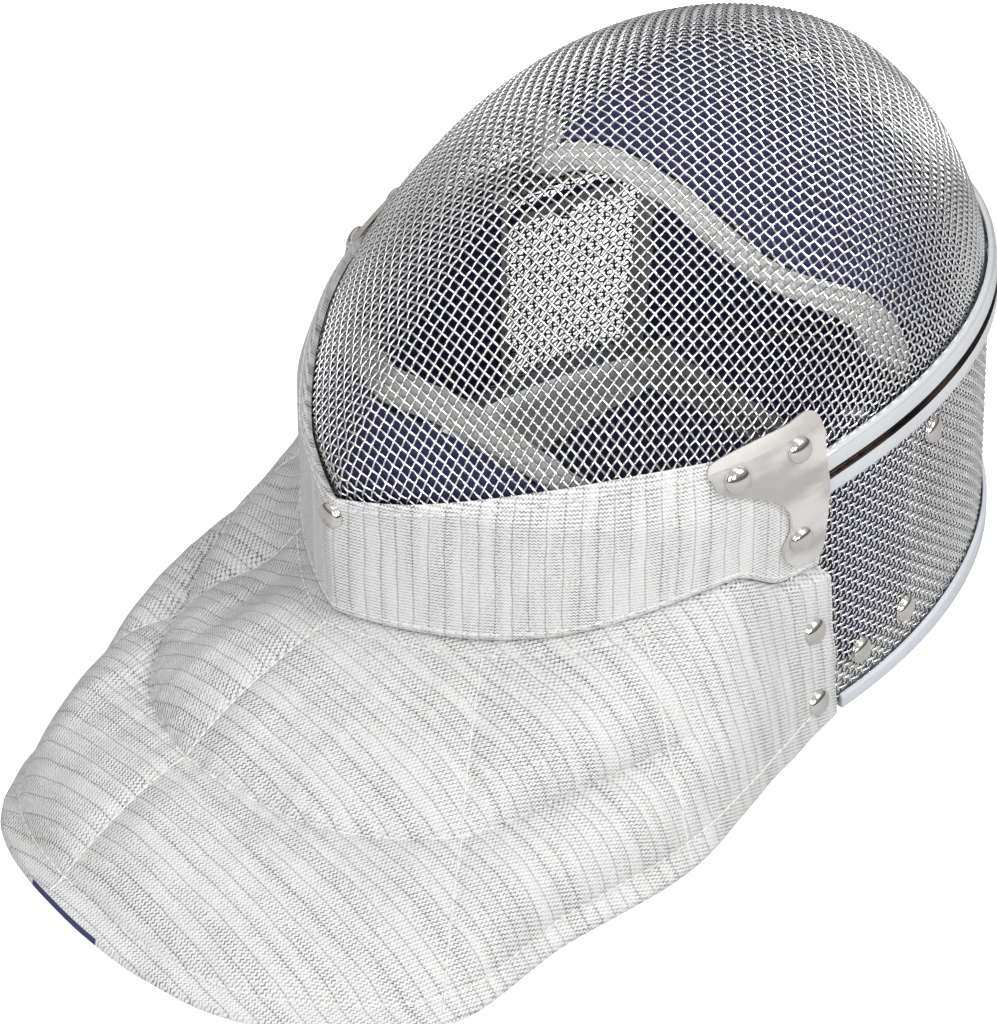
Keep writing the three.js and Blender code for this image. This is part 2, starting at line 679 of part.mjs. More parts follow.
// Lining pads over the ears, inside the dome's side walls, and behind the head, inside the strip
const EAR_PAD = { front: -32, back: 27, top: 106, bottom: 24, clearance: 0.9, columns: 6, rows: 6 };
for (const { word, sign } of SIDES) {
  const sheet = (depth) => (u, v) => {
    const y = lerp(EAR_PAD.back, EAR_PAD.front, u);
    const z = lerp(EAR_PAD.top, EAR_PAD.bottom, v);
    const width = wallWidth(y, z) - MESH_THICKNESS - EAR_PAD.clearance - depth;
    return new THREE.Vector3(sign * width, y, z);
  };
  const pad = wall(sheet(0), sheet(PAD.thickness), EAR_PAD.columns, EAR_PAD.rows);
  addPiece(`ear_pad_${word}`, pad, FINISH.navy);
}
const REAR_PAD = { sweep: 58, top: 0.06, bottom: 0.86, clearance: 0.8, columns: 20, rows: 5 };
const rearSheet = (depth) => (u, v) => {
  const side = lerp(-REAR_PAD.sweep, REAR_PAD.sweep, u);
  const down = lerp(REAR_PAD.top, REAR_PAD.bottom, v);
  const normal = normalAt(stripPoint, side, down, NORMAL_STEP);
  normal.multiplyScalar(Math.sign(normal.y));
  const inset = MESH_THICKNESS + REAR_PAD.clearance + depth;
  return stripPoint(side, down).addScaledVector(normal, -inset);
};
const rearPad = wall(rearSheet(0), rearSheet(PAD.thickness), REAR_PAD.columns, REAR_PAD.rows);
addPiece('rear_pad', rearPad, FINISH.navy);

export default mask;
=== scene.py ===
"""Looks of a fencing mask with a woven steel face, a knit bib and a navy lining, in the frame of its solids.

Sizes are in millimetres about the cheek axis, the level line from one cheek plate to the other: +X is the
wearer's left, -Y the bib, +Y the crown and Z the height over the surface that the mask lies on.
"""

import logging
import math
from collections.abc import Callable, Iterator, Sequence
from contextlib import contextmanager
from dataclasses import dataclass, field
from enum import Enum
from functools import partial
from typing import ClassVar, NamedTuple

import bpy
import numpy as np
import numpy.typing as npt
from mathutils import Matrix, Vector


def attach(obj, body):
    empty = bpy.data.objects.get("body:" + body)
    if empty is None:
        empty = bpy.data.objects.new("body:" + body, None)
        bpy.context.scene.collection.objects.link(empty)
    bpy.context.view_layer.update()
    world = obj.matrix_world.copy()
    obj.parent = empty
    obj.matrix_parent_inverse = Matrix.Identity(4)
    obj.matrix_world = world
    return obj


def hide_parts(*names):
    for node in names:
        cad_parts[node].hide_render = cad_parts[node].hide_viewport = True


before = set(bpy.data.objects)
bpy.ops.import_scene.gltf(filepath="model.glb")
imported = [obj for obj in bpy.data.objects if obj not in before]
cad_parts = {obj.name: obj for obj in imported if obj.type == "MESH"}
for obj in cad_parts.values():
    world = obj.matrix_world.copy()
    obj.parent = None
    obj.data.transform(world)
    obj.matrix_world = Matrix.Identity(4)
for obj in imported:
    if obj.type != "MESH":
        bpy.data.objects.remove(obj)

LOG = logging.getLogger("fencing_mask")
ORIGIN_SHIFT = (-9.1, 51.1, 0.0)
MM = 0.001
WEAVE = "weave"
OUTWARD = "outward"
MERGE_DISTANCE = 0.00001

Array = npt.NDArray[np.float64]
Flags = npt.NDArray[np.bool_]
Surface = Callable[[Array, Array], Array]
Weave = Callable[[Array, Array, Array], tuple[Array, Array]]
Colour = tuple[float, float, float, float]
Pair = tuple[float, float]
Point = tuple[float, float, float]
Piece = bpy.types.Object
Material = bpy.types.Material
NodeTree = bpy.types.NodeTree
Node = bpy.types.Node
Socket = bpy.types.NodeSocket


class Side(Enum):
    """The wearer's two sides, as the sign of X."""

    LEFT = 1
    RIGHT = -1

    @property
    def word(self) -> str:
        """The side's name as the solids spell it."""
        return self.name.lower()


class Slot(Enum):
    """Material slots of the record."""

    WIRE = "wire_mesh"
    BRIGHT = "bright_band"
    PLATE = "plate_steel"
    RIVET = "rivet"
    BINDING = "edge_binding"
    KNIT = "knit"
    LINING = "navy_lining"
    TRIM = "lining_trim"


class Fold(NamedTuple):
    """One fold of the bib: where it leaves the collar and where it meets the hem."""

    top_turn: float
    flare: float
    hem_x: float
    hem_y: float
    hem_z: float


class Station(NamedTuple):
    """One station along a cheek plate's bent strip, in the side view."""

    outer_y: float
    outer_z: float
    inner_y: float
    inner_z: float


class SoftBox(NamedTuple):
    """A soft box: its name, place in metres, width and power."""

    name: str
    place: Point
    size: float
    power: float


class RivetPlace(NamedTuple):
    """A rivet's node and its place in the two coordinates of the piece that carries it."""

    node: str
    first: float
    second: float


class Ripple(NamedTuple):
    """A wave over a cloth: how fast it turns across and down it, and where it starts."""

    across: float
    down: float
    start: float

    def at(self, across: Array, down: Array) -> Array:
        """Height of the wave, from -1 to 1."""
        return np.sin(self.across * across + self.down * down + self.start)


def smoothstep(value: Array, low: float, high: float) -> Array:
    """Smooth rise from 0 at the low value to 1 at the high one."""
    share = np.clip((value - low) / (high - low), 0.0, 1.0)
    return share * share * (3.0 - 2.0 * share)


def between(table: Sequence[float], place: Array) -> Array:
    """Smooth value of a table's column at row numbers that may lie between two rows.

    Args:
        table: The column's values.
        place: Row numbers.

    Returns:
        The value at each place.
    """
    values = np.asarray(table, float)
    slopes = np.gradient(values)
    place = np.asarray(place, float)
    row = np.clip(np.floor(place).astype(int), 0, len(values) - 2)
    t = place - row
    rise = (t**3 - 2 * t**2 + t) * slopes[row] + (t**3 - t**2) * slopes[row + 1]
    return (2 * t**3 - 3 * t**2 + 1) * values[row] + (3 * t**2 - 2 * t**3) * values[row + 1] + rise


def unit(vectors: Array) -> Array:
    """Vectors scaled to length 1."""
    return vectors / np.maximum(np.linalg.norm(vectors, axis=-1, keepdims=True), 1e-12)


def normals_of(surface: Surface, u: Array, v: Array, step: float, inside: Array) -> Array:
    """Unit normals of a surface, away from an inner point.

    Args:
        surface: Surface of two parameters.
        u: First parameters.
        v: Second parameters.
        step: Half the difference that the slope is taken over.
        inside: Point that the normals turn away from.

    Returns:
        One normal for each pair of parameters.
    """
    along = surface(u + step, v) - surface(u - step, v)
    across = surface(u, v + step) - surface(u, v - step)
    normal = unit(np.cross(along, across))
    outward = np.sum(normal * (surface(u, v) - inside), axis=-1, keepdims=True)
    return normal * np.where(outward < 0, -1.0, 1.0)


def framed(points: Array) -> Array:
    """Millimetres about the cheek axis turned into metres in the frame of the solids."""
    return (points + np.array(ORIGIN_SHIFT)) * MM


def unframed(points: Array) -> Array:
    """Metres in the frame of the solids turned back into millimetres about the cheek axis."""
    return points / MM - np.array(ORIGIN_SHIFT)


def xyz(*parts: Array) -> Array:
    """Coordinates joined into points."""
    return np.stack(parts, axis=-1)


def lengths_along(path: Array) -> Array:
    """Length run at each point of a line."""
    return np.concatenate([[0.0], np.cumsum(np.linalg.norm(np.diff(path, axis=0), axis=1))])


def read_along(rows: Array, length: Array, places: Array) -> Array:
    """Points or directions of a line, read at lengths run along it."""
    return xyz(*(np.interp(places, length, rows[:, k]) for k in range(3)))


def rounding(edge: Array, radius: float) -> Array:
    """How far a cloth's face falls back at distances from its rounded edge."""
    near = 1.0 - np.clip(edge / radius, 0, 1)
    return radius * (1.0 - np.sqrt(1.0 - near**2))


@dataclass(frozen=True)
class MaskForm:
    """The mask's form: the face dome, the strip behind it, the collar, the bib and the lining."""

    cheek_half_width: float = 92.8
    rim_height: float = 94.5
    ridge_power: float = 1.23
    crown_power: float = 1.85
    flank_power: float = 2.25
    ridge_fade: Pair = (60.0, 170.0)
    profile_step: float = 30.0
    profile: tuple[float, ...] = (137.5, 116.8, 110.0, 113.8, 124.5, 137.0, 153.0)
    band_angle: float = 182.0
    chin_reach: float = 129.7
    chin_span: float = 60.0
    chin_wall_rate: float = 2.4
    edge_half_width: float = 102.5
    edge_reach: float = 147.0
    edge_power: float = 2.15
    tongue_spread: float = 2.8
    mesh_thickness: float = 2.0
    fit_gap: float = 0.4
    collar_top_front: float = 108.2
    collar_top_rise: float = 14.0
    collar_top_rate: float = 1.7
    collar_bottom_front: float = 66.0
    collar_bottom_rise: float = 8.0
    collar_bottom_rate: float = 1.4
    collar_sag: float = 8.5
    collar_sag_ends: Pair = (30.0, 68.0)
    collar_chin_sag: float = 0.65
    collar_chin_turn: float = 25.0
    collar_plate_drop: float = 9.0
    collar_drop: Pair = (66.0, 78.0)
    bib_drop: float = 0.9
    halvings: int = 40
    farthest: float = 200.0
    heart_drop: float = 20.0
    heart_back: float = 30.0
    strip_probe: float = 0.01
    folds: tuple[Fold, ...] = (
        Fold(-88, 8.8, -109.2, -5, 5.5),
        Fold(-68, 5, -98, -52, 5.5),
        Fold(-48, 2.6, -86, -108, 6),
        Fold(-35, 2.6, -82, -148, 6),
        Fold(-22, 2.6, -72, -189, 6),
        Fold(-15, 2.6, -55, -228, 9),
        Fold(-8, 2.6, -36, -248, 13),
        Fold(0, 2.6, 0, -259, 17),
        Fold(8, 2.6, 42, -257, 12),
        Fold(15, 2.6, 81, -241, 7),
        Fold(22, 2.6, 120, -199, 5.5),
        Fold(35, 2.6, 122, -148, 5.5),
        Fold(48, 2.6, 127, -94, 5.5),
        Fold(68, 5, 117, -46, 5.5),
        Fold(88, 8.8, 109.2, -5, 5.5),
    )

    @property
    def heart(self) -> Array:
        """A point inside the head space, on the cheek axis's middle."""
        return np.array([0.0, 0.0, self.rim_height - self.heart_drop])

    def radius(self, angle: Array) -> Array:
        """Radius of the mid-plane profile at angles up from the chin, in degrees."""
        chin_wall = self.chin_reach / np.cos(np.radians(np.minimum(angle, self.chin_span)))
        return np.minimum(between(self.profile, angle / self.profile_step), chin_wall)

    def arch_power(self, angle: Array) -> Array:
        """Power of the arch across the dome: near 1 is a keel, 2 is round."""
        fade = smoothstep(angle, *self.ridge_fade)
        return self.ridge_power + (self.crown_power - self.ridge_power) * fade

    def dome(self, angle: Array, lean: Array) -> Array:
        """Points of the face dome, and below its rim of the upright chin wall.

        Args:
            angle: Degrees round the cheek axis from the chin. Below 0 is down the chin wall.
            lean: Radians from the ridge, where a quarter turn is at the cheek.

        Returns:
            Points in millimetres.
        """
        risen = np.maximum(angle, 0.0)
        share = np.sin(lean)
        drop = np.maximum(1.0 - np.abs(share) ** self.arch_power(risen), 1e-9)
        reach = self.radius(risen) * drop ** (1.0 / self.flank_power)
        turn = np.radians(risen)
        below = np.minimum(angle, 0.0) * self.chin_wall_rate
        height = self.rim_height + reach * np.sin(turn) + below
        return xyz(self.cheek_half_width * share, -reach * np.cos(turn), height)

    def wall_width(self, y: Array, z: Array) -> Array:
        """Half width of the dome or of the chin wall at places in the side view."""
        up = np.maximum(z - self.rim_height, 0.0)
        angle = np.degrees(np.arctan2(up, -y))
        share = np.minimum(np.hypot(y, up) / self.radius(angle), 1.0)
        drop = 1.0 - share**self.flank_power
        return self.cheek_half_width * drop ** (1.0 / self.arch_power(angle))

    def level(self, points: Array) -> Array:
        """The dome's equation, with upright walls under its rim: 0 on the dome and more outside it."""
        x, y, z = points[..., 0], points[..., 1], points[..., 2]
        up = np.maximum(z - self.rim_height, 0.0)
        angle = np.degrees(np.arctan2(up, -y))
        width = (np.abs(x) / self.cheek_half_width) ** self.arch_power(angle)
        return width + (np.hypot(y, up) / self.radius(angle)) ** self.flank_power - 1.0

    def plan_point(self, turn: Array, z: Array, offset: Array | float) -> Array:
        """Points outside the dome's wall at given heights.

        Args:
            turn: Degrees in plan from the chin, towards the wearer's left.
            z: Heights.
            offset: Distance out from the wall.

        Returns:
            Points in millimetres.
        """
        sin, cos = np.sin(np.radians(turn)), np.cos(np.radians(turn))
        inside = np.zeros(np.shape(turn))
        outside = np.full(np.shape(turn), self.farthest)
        for _ in range(self.halvings):
            reach = (inside + outside) / 2
            is_inside = np.abs(reach * sin) < self.wall_width(-reach * cos, z)
            inside = np.where(is_inside, reach, inside)
            outside = np.where(is_inside, outside, reach)
        reach = inside + offset
        return xyz(reach * sin, -reach * cos, z)

    def strip(self, sweep: Array, down: Array) -> Array:
        """Points of the strip round the head, from the bright band at down 0 to the surface at down 1.

        Args:
            sweep: Degrees round the crown, 90 at the cheeks and straight on past them.
            down: Share of the way down.

        Returns:
            Points in millimetres.
        """
        turn = np.clip(sweep, -90.0, 90.0)
        sin, cos = np.abs(np.sin(np.radians(turn))), np.maximum(np.cos(np.radians(turn)), 0.0)
        side = np.sign(turn)
        drop = 1.0 - np.minimum(cos, 1.0) ** self.flank_power
        band = np.full(np.shape(turn), self.band_angle)
        top_x = side * self.cheek_half_width * drop ** (1.0 / self.arch_power(band))
        reach = self.radius(band) * cos
        tilt = math.radians(self.band_angle)
        top = xyz(top_x, -reach * math.cos(tilt), self.rim_height + reach * math.sin(tilt))
        low_x = side * self.edge_half_width * sin ** (2.0 / self.edge_power)
        low_y = self.edge_reach * cos ** (2.0 / self.edge_power)
        low = xyz(low_x, low_y, np.zeros(np.shape(turn)))
        share = np.asarray(down, float)[..., None]
        point = top * (1.0 - share) + low * share
        point[..., 1] -= self.tongue_spread * np.abs(sweep - turn)
        return point

    def strip_normal(self, sweep: Array, down: Array) -> Array:
        """Unit normals out of the strip."""
        inside = self.heart + np.array([0.0, self.heart_back, 0.0])
        return normals_of(self.strip, sweep, down, self.strip_probe, inside)

    def collar_top(self, turn: Array) -> Array:
        """Height of the collar's top edge round the face."""
        rise = np.sin(np.radians(np.abs(turn) * self.collar_top_rate))
        return self.collar_top_front + self.collar_top_rise * rise

    def collar_bottom(self, turn: Array) -> Array:
        """Height of the collar's lower edge, which sags beside the chin and drops under the cheek plates."""
        around = np.abs(turn)
        rise = self.collar_bottom_rise * np.sin(np.radians(turn * self.collar_bottom_rate)) ** 2
        drop = self.collar_plate_drop * smoothstep(around, *self.collar_drop)
        chin, beside = self.collar_chin_sag, smoothstep(around, 0.0, self.collar_chin_turn)
        ends = 1.0 - smoothstep(around, *self.collar_sag_ends)
        sag = self.collar_sag * (chin + (1.0 - chin) * beside) * ends
        return self.collar_bottom_front + rise - drop - sag

    @property
    def half_folds(self) -> int:
        """Folds from the bib's centre seam to a rear edge."""
        return (len(self.folds) - 1) // 2

    def column(self, name: str, place: Array) -> Array:
        """A column of the bib's fold table at fold numbers."""
        return between([getattr(fold, name) for fold in self.folds], place)

    def bib_fold(self, across: Array) -> tuple[Array, Array, Array]:
        """The straight folds of the bib.

        Args:
            across: -1 at the rear edge on the right, 0 at the centre seam, 1 at the rear edge on the left.

        Returns:
            Top points, hem points and outward unit normals.
        """
        place = (1.0 + across) * self.half_folds
        turn = self.column("top_turn", place)
        top = self.plan_point(turn, self.collar_bottom(turn) - self.bib_drop, self.column("flare", place))
        hem = xyz(*(self.column(name, place) for name in ("hem_x", "hem_y", "hem_z")))
        run = hem - top
        level = np.hypot(run[..., 0], run[..., 1])
        tilt = np.arctan2(-run[..., 2], level)
        leaving = xyz(np.sin(np.radians(turn)), -np.cos(np.radians(turn)))
        out = unit(run[..., :2] / level[..., None] + leaving)
        normal = np.concatenate([out * np.sin(tilt)[..., None], np.cos(tilt)[..., None]], axis=-1)
        return top, hem, normal

    def lining(self, angle: Array, share: Array, depth: Array) -> Array:
        """Points of the lining inside the dome.

        Args:
            angle: Degrees round the cheek axis.
            share: Share of the half width, with its sign.
            depth: Distance in from the wire.

        Returns:
            Points in millimetres.
        """
        drop = np.maximum(1.0 - np.abs(share) ** self.arch_power(angle), 0.0)
        inset = self.mesh_thickness + depth
        reach = (self.radius(angle) - inset) * drop ** (1.0 / self.flank_power)
        turn = np.radians(angle)
        height = self.rim_height + reach * np.sin(turn)
        return xyz(share * (self.cheek_half_width - inset), -reach * np.cos(turn), height)


class Tree:
    """Builder for the nodes of one material or node group."""

    def __init__(self, tree: NodeTree) -> None:
        """Keep the tree that the nodes go in."""
        self.tree = tree

    def node(self, kind: str, **settings: object) -> Node:
        """Add a node and set its properties.

        Args:
            kind: Blender's node type.
            settings: Properties of the node.

        Returns:
            The new node.
        """
        made = self.tree.nodes.new(kind)
        for name, value in settings.items():
            setattr(made, name, value)
        return made

    def feed(self, socket: Socket, value: object) -> None:
        """Link a socket to an output, or set its own value."""
        if isinstance(value, Socket):
            self.tree.links.new(value, socket)
        else:
            socket.default_value = value

    def math(self, operation: str, *values: object) -> Socket:
        """A Math node.

        Args:
            operation: Blender's name of the operation.
            values: Numbers or outputs, in the order of the node's inputs.

        Returns:
            The result's output.
        """
        made = self.node("ShaderNodeMath", operation=operation)
        for socket, value in zip(made.inputs, values):
            self.feed(socket, value)
        return made.outputs[0]

    def ramp(self, value: object, low: float, high: float, start: float = 0.0, end: float = 1.0) -> Socket:
        """A smooth Map Range.

        Args:
            value: Output that is read.
            low: Value at the start.
            high: Value at the end.
            start: Result at low.
            end: Result at high.

        Returns:
            The result's output.
        """
        made = self.node("ShaderNodeMapRange", interpolation_type="SMOOTHSTEP")
        for socket, number in zip(made.inputs, (value, low, high, start, end)):
            self.feed(socket, number)
        return made.outputs[0]

    def noise(self, vector: object, scale: float, detail: float = 2.0) -> Socket:
        """Noise from about 0 to 1.

        Args:
            vector: Coordinates.
            scale: Waves for each unit of the coordinates.
            detail: Octaves.

        Returns:
            The noise's value.
        """
        made = self.node("ShaderNodeTexNoise")
        self.feed(made.inputs["Vector"], vector)
        made.inputs["Scale"].default_value = scale
        made.inputs["Detail"].default_value = detail
        return made.outputs["Fac"]

    def stretched(self, vector: object, scale: Point) -> Socket:
        """Coordinates scaled along each axis."""
        made = self.node("ShaderNodeMapping")
        self.feed(made.inputs["Vector"], vector)
        made.inputs["Scale"].default_value = scale
        return made.outputs["Vector"]

    def mix(self, share: object, low: object, high: object) -> Socket:
        """Colour mixed between two by a share."""
        made = self.node("ShaderNodeMix", data_type="RGBA")
        self.feed(made.inputs[0], share)
        self.feed(made.inputs[6], low)
        self.feed(made.inputs[7], high)
        return made.outputs[2]

    def group(self, tree: NodeTree, **values: object) -> Node:
        """Place a node group.

        Args:
            tree: The group's tree.
            values: Inputs by name, with _ for a space.

        Returns:
            The group's node.
        """
        made = self.node("ShaderNodeGroup", node_tree=tree)
        for name, value in values.items():
            self.feed(made.inputs[name.replace("_", " ")], value)
        return made


def new_group(name: str, inputs: Sequence[str], outputs: Sequence[str]) -> tuple[Tree, dict, dict]:
    """An empty shader node group with named sockets.

    Args:
        name: The group's name.
        inputs: Input names. One called Vector is a vector, the others are numbers.
        outputs: Output names, all numbers.

    Returns:
        The group's builder, its inputs by name as outputs to link from, and its outputs by name.
    """
    made = bpy.data.node_groups.new(name, "ShaderNodeTree")
    for word in inputs:
        kind = "NodeSocketVector" if word == "Vector" else "NodeSocketFloat"
        made.interface.new_socket(name=word, in_out="INPUT", socket_type=kind)
    for word in outputs:
        made.interface.new_socket(name=word, in_out="OUTPUT", socket_type="NodeSocketFloat")
    tree = Tree(made)
    source = tree.node("NodeGroupInput")
    target = tree.node("NodeGroupOutput")
    return tree, {w: source.outputs[w] for w in inputs}, {w: target.inputs[w] for w in outputs}


@dataclass(frozen=True)
class KnitPattern:
    """Zigzag rows between thin ribs, as shares of a rib and of a row and as strengths from 0 to 1."""

    drift_scale: float = 0.045
    drift: float = 2.4
    rib_line: Pair = (0.445, 0.495)
    zigzag_rise: float = 0.9
    stroke: Pair = (0.22, 0.4)
    break_scale: Point = (0.9, 1.1, 1.0)
    breaks: tuple[float, float, float, float] = (0.36, 0.56, 0.35, 1.0)
    streak_scale: Point = (0.02, 0.16, 1.0)
    streak_detail: float = 3.0
    streaks: tuple[float, float, float, float] = (0.34, 0.66, 0.4, 1.0)
    rib_dots: tuple[float, float, float, float] = (0.1, 0.45, 0.1, 0.32)
    rib_round: float = 1.6
    rib_dip: float = 0.45
    stroke_dip: float = 0.22

    def group(self) -> NodeTree:
        """Build the pattern once, read from the cloth's own map in millimetres.

        Returns:
            A group that puts out how dark the cloth is drawn, by the thread's zigzag strokes and by dotted
            lines along the rib grooves, and how high the cloth stands.
        """
        found = bpy.data.node_groups.get("knit_rows")
        if found:
            return found
        inputs = ("Vector", "Rib", "Row", "Zigzag", "Streak")
        tree, given, out = new_group("knit_rows", inputs, ("Dark", "Height"))
        split = tree.node("ShaderNodeSeparateXYZ")
        tree.feed(split.inputs[0], given["Vector"])
        wander = tree.noise(given["Vector"], self.drift_scale)
        drift = tree.math("MULTIPLY_ADD", wander, self.drift, split.outputs["Y"])
        rib_place = tree.math("FRACT", tree.math("DIVIDE", drift, given["Rib"]))
        from_rib = tree.math("ABSOLUTE", tree.math("SUBTRACT", rib_place, 0.5))
        line = tree.ramp(from_rib, *self.rib_line)
        zig = tree.math("PINGPONG", tree.math("DIVIDE", drift, given["Zigzag"]), 0.5)
        climb = tree.math("MULTIPLY", zig, self.zigzag_rise)
        row = tree.math("ADD", tree.math("DIVIDE", split.outputs["X"], given["Row"]), climb)
        row_place = tree.math("ABSOLUTE", tree.math("SUBTRACT", tree.math("FRACT", row), 0.5))
        stroke = tree.ramp(row_place, *self.stroke)
        gaps = tree.noise(tree.stretched(given["Vector"], self.break_scale), 1.0, 1.0)
        broken = tree.ramp(gaps, *self.breaks)
        streaks = tree.noise(tree.stretched(given["Vector"], self.streak_scale), 1.0, self.streak_detail)
        strength = tree.math("MULTIPLY", tree.ramp(streaks, *self.streaks), given["Streak"])
        marks = tree.math("MULTIPLY", tree.math("MULTIPLY", stroke, broken), strength)
        # darker dotted lines along the rib lines, where the height dips too
        dotted = tree.math("MULTIPLY", line, tree.ramp(row_place, *self.rib_dots))
        tree.feed(out["Dark"], tree.math("MINIMUM", tree.math("ADD", marks, dotted), 1.0))
        hollow = tree.math("SUBTRACT", 0.25, tree.math("POWER", from_rib, 2.0))
        round_rib = tree.math("MULTIPLY", hollow, self.rib_round)
        above_rib = tree.math("SUBTRACT", round_rib, tree.math("MULTIPLY", line, self.rib_dip))
        rows_high = tree.math("MULTIPLY", stroke, -self.stroke_dip)
        tree.feed(out["Height"], tree.math("ADD", above_rib, rows_high))
        return tree.tree


def mottle_group() -> NodeTree:
    """Soft uneven patches and fine grain, for handled metal, cloth and plastic alike.

    Returns:
        A group that puts out patches and grain, both about 0 to 1.
    """
    found = bpy.data.node_groups.get("patches_and_grain")
    if found:
        return found
    inputs = ("Vector", "Patch Scale", "Grain Scale")
    tree, given, out = new_group("patches_and_grain", inputs, ("Patches", "Grain"))
    for word, detail in (("Patch", 4.0), ("Grain", 2.0)):
        made = tree.node("ShaderNodeTexNoise")
        tree.feed(made.inputs["Vector"], given["Vector"])
        tree.feed(made.inputs["Scale"], given[f"{word} Scale"])
        made.inputs["Detail"].default_value = detail
        tree.feed(out["Patches" if word == "Patch" else "Grain"], made.outputs["Fac"])
    return tree.tree


@dataclass(frozen=True)
class Finish:
    """A material that starts from a Principled shader with object coordinates."""

    name: str
    grain_range: ClassVar[Pair] = (0.3, 0.7)

    def start(self) -> tuple[Material, Tree, Node, Socket]:
        """An empty material of this name.

        Returns:
            The material, its node builder, its Principled shader and its object coordinates.
        """
        material = bpy.data.materials.new(self.name)
        material.use_nodes = True
        tree = Tree(material.node_tree)
        shader = material.node_tree.nodes["Principled BSDF"]
        place = tree.node("ShaderNodeTexCoord").outputs["Object"]
        return material, tree, shader, place

    def bump(self, tree: Tree, shader: Node, height: object, strength: float, distance: float) -> None:
        """Raise the surface by a height.

        Args:
            tree: The material's builder.
            shader: Its Principled shader.
            height: Output that gives the height.
            strength: How much of the bump shows.
            distance: Metres that a height of 1 stands for.
        """
        made = tree.node("ShaderNodeBump")
        made.inputs["Strength"].default_value = strength
        made.inputs["Distance"].default_value = distance
        tree.feed(made.inputs["Height"], height)
        tree.feed(shader.inputs["Normal"], made.outputs["Normal"])


@dataclass(frozen=True)
class MetalFinish(Finish):
    """Bare or plated metal with patches in its colour and gloss, faint on most finishes; on the cheek plates
    they are strong, painted smeared reflections, and the wire's sides that face in take a painted shade.
    """

    light: Colour = (0.8, 0.8, 0.8, 1.0)
    dull: Colour = (0.6, 0.6, 0.6, 1.0)
    rough: Pair = (0.2, 0.35)
    patch_scale: float = 60.0
    grain_scale: float = 900.0
    grain: Point = (1.0, 1.0, 1.0)
    grain_depth: float = 0.00002
    metallic: float = 1.0
    # inner: colour painted on the sides of a wire that face in, a painted shade; None leaves them alone
    inner: Colour | None = None
    patches: ClassVar[Pair] = (0.35, 0.68)
    turned_in: ClassVar[Pair] = (-0.75, 0.25)
    bump_share: ClassVar[float] = 0.25

    def material(self) -> Material:
        """Build the material."""
        material, tree, shader, place = self.start()
        spots = tree.group(
            mottle_group(),
            Vector=tree.stretched(place, self.grain),
            Patch_Scale=self.patch_scale,
            Grain_Scale=self.grain_scale,
        )
        colour = tree.mix(tree.ramp(spots.outputs["Patches"], *self.patches), self.light, self.dull)
        # painted shade: by the outward attribute, the sides that face in take the dark inner colour
        if self.inner is not None:
            outward = tree.node("ShaderNodeAttribute", attribute_name=OUTWARD).outputs["Fac"]
            colour = tree.mix(tree.ramp(outward, *self.turned_in), self.inner, colour)
        tree.feed(shader.inputs["Base Color"], colour)
        gloss = tree.ramp(spots.outputs["Grain"], *self.grain_range, *self.rough)
        tree.feed(shader.inputs["Roughness"], gloss)
        shader.inputs["Metallic"].default_value = self.metallic
        self.bump(tree, shader, spots.outputs["Grain"], self.bump_share, self.grain_depth)
        return material


@dataclass(frozen=True)
class KnitFinish(Finish):
    """Silver and white knit with ribs, on the cloth's own map."""

    light: Colour = (0.69, 0.685, 0.685, 1.0)
    thread: Colour = (0.1, 0.1, 0.105, 1.0)
    metal: float = 0.4
    rib: float = 5.2
    row: float = 1.28
    zigzag: float = 1.3
    streak: float = 0.92
    relief: float = 0.0007
    grain_scale: float = 700.0
    rough: Pair = (0.42, 0.6)
    sheen: float = 0.12
    bump_share: float = 0.7

    def material(self) -> Material:
        """Build the material."""
        material, tree, shader, place = self.start()
        cloth = tree.node("ShaderNodeUVMap", uv_map=WEAVE).outputs["UV"]
        knit = tree.group(
            KnitPattern().group(),
            Vector=cloth,
            Rib=self.rib,
            Row=self.row,
            Zigzag=self.zigzag,
            Streak=self.streak,
        )
        spots = tree.group(mottle_group(), Vector=place, Grain_Scale=self.grain_scale)
        tree.feed(shader.inputs["Base Color"], tree.mix(knit.outputs["Dark"], self.light, self.thread))
        tree.feed(shader.inputs["Metallic"], tree.math("MULTIPLY", knit.outputs["Dark"], self.metal))
        gloss = tree.ramp(spots.outputs["Grain"], *self.grain_range, *self.rough)
        tree.feed(shader.inputs["Roughness"], gloss)
        shader.inputs["Sheen Weight"].default_value = self.sheen
        self.bump(tree, shader, knit.outputs["Height"], self.bump_share, self.relief)
        return material


@dataclass(frozen=True)
class ClothFinish(Finish):
    """Plain woven cloth or tape with a fine thread grain."""

    light: Colour = (0.5, 0.5, 0.5, 1.0)
    dull: Colour = (0.4, 0.4, 0.4, 1.0)
    thread_scale: float = 900.0
    relief: float = 0.0003
    rough: Pair = (0.75, 0.92)
    sheen: float = 0.1
    patch_scale: ClassVar[float] = 35.0
    patches: ClassVar[Pair] = (0.3, 0.7)
    patch_share: ClassVar[float] = 0.6
    grain_share: ClassVar[float] = 0.4
    bump_share: ClassVar[float] = 0.5

    def material(self) -> Material:
        """Build the material."""
        material, tree, shader, place = self.start()
        scales = {"Patch_Scale": self.patch_scale, "Grain_Scale": self.thread_scale}
        spots = tree.group(mottle_group(), Vector=place, **scales)
        patches = tree.math("MULTIPLY", tree.ramp(spots.outputs["Patches"], *self.patches), self.patch_share)
        grain = tree.math("MULTIPLY", spots.outputs["Grain"], self.grain_share)
        speckle = tree.math("ADD", patches, grain)
        tree.feed(shader.inputs["Base Color"], tree.mix(speckle, self.light, self.dull))
        gloss = tree.ramp(spots.outputs["Grain"], *self.grain_range, *self.rough)
        tree.feed(shader.inputs["Roughness"], gloss)
        shader.inputs["Sheen Weight"].default_value = self.sheen
        self.bump(tree, shader, spots.outputs["Grain"], self.bump_share, self.relief)
        return material


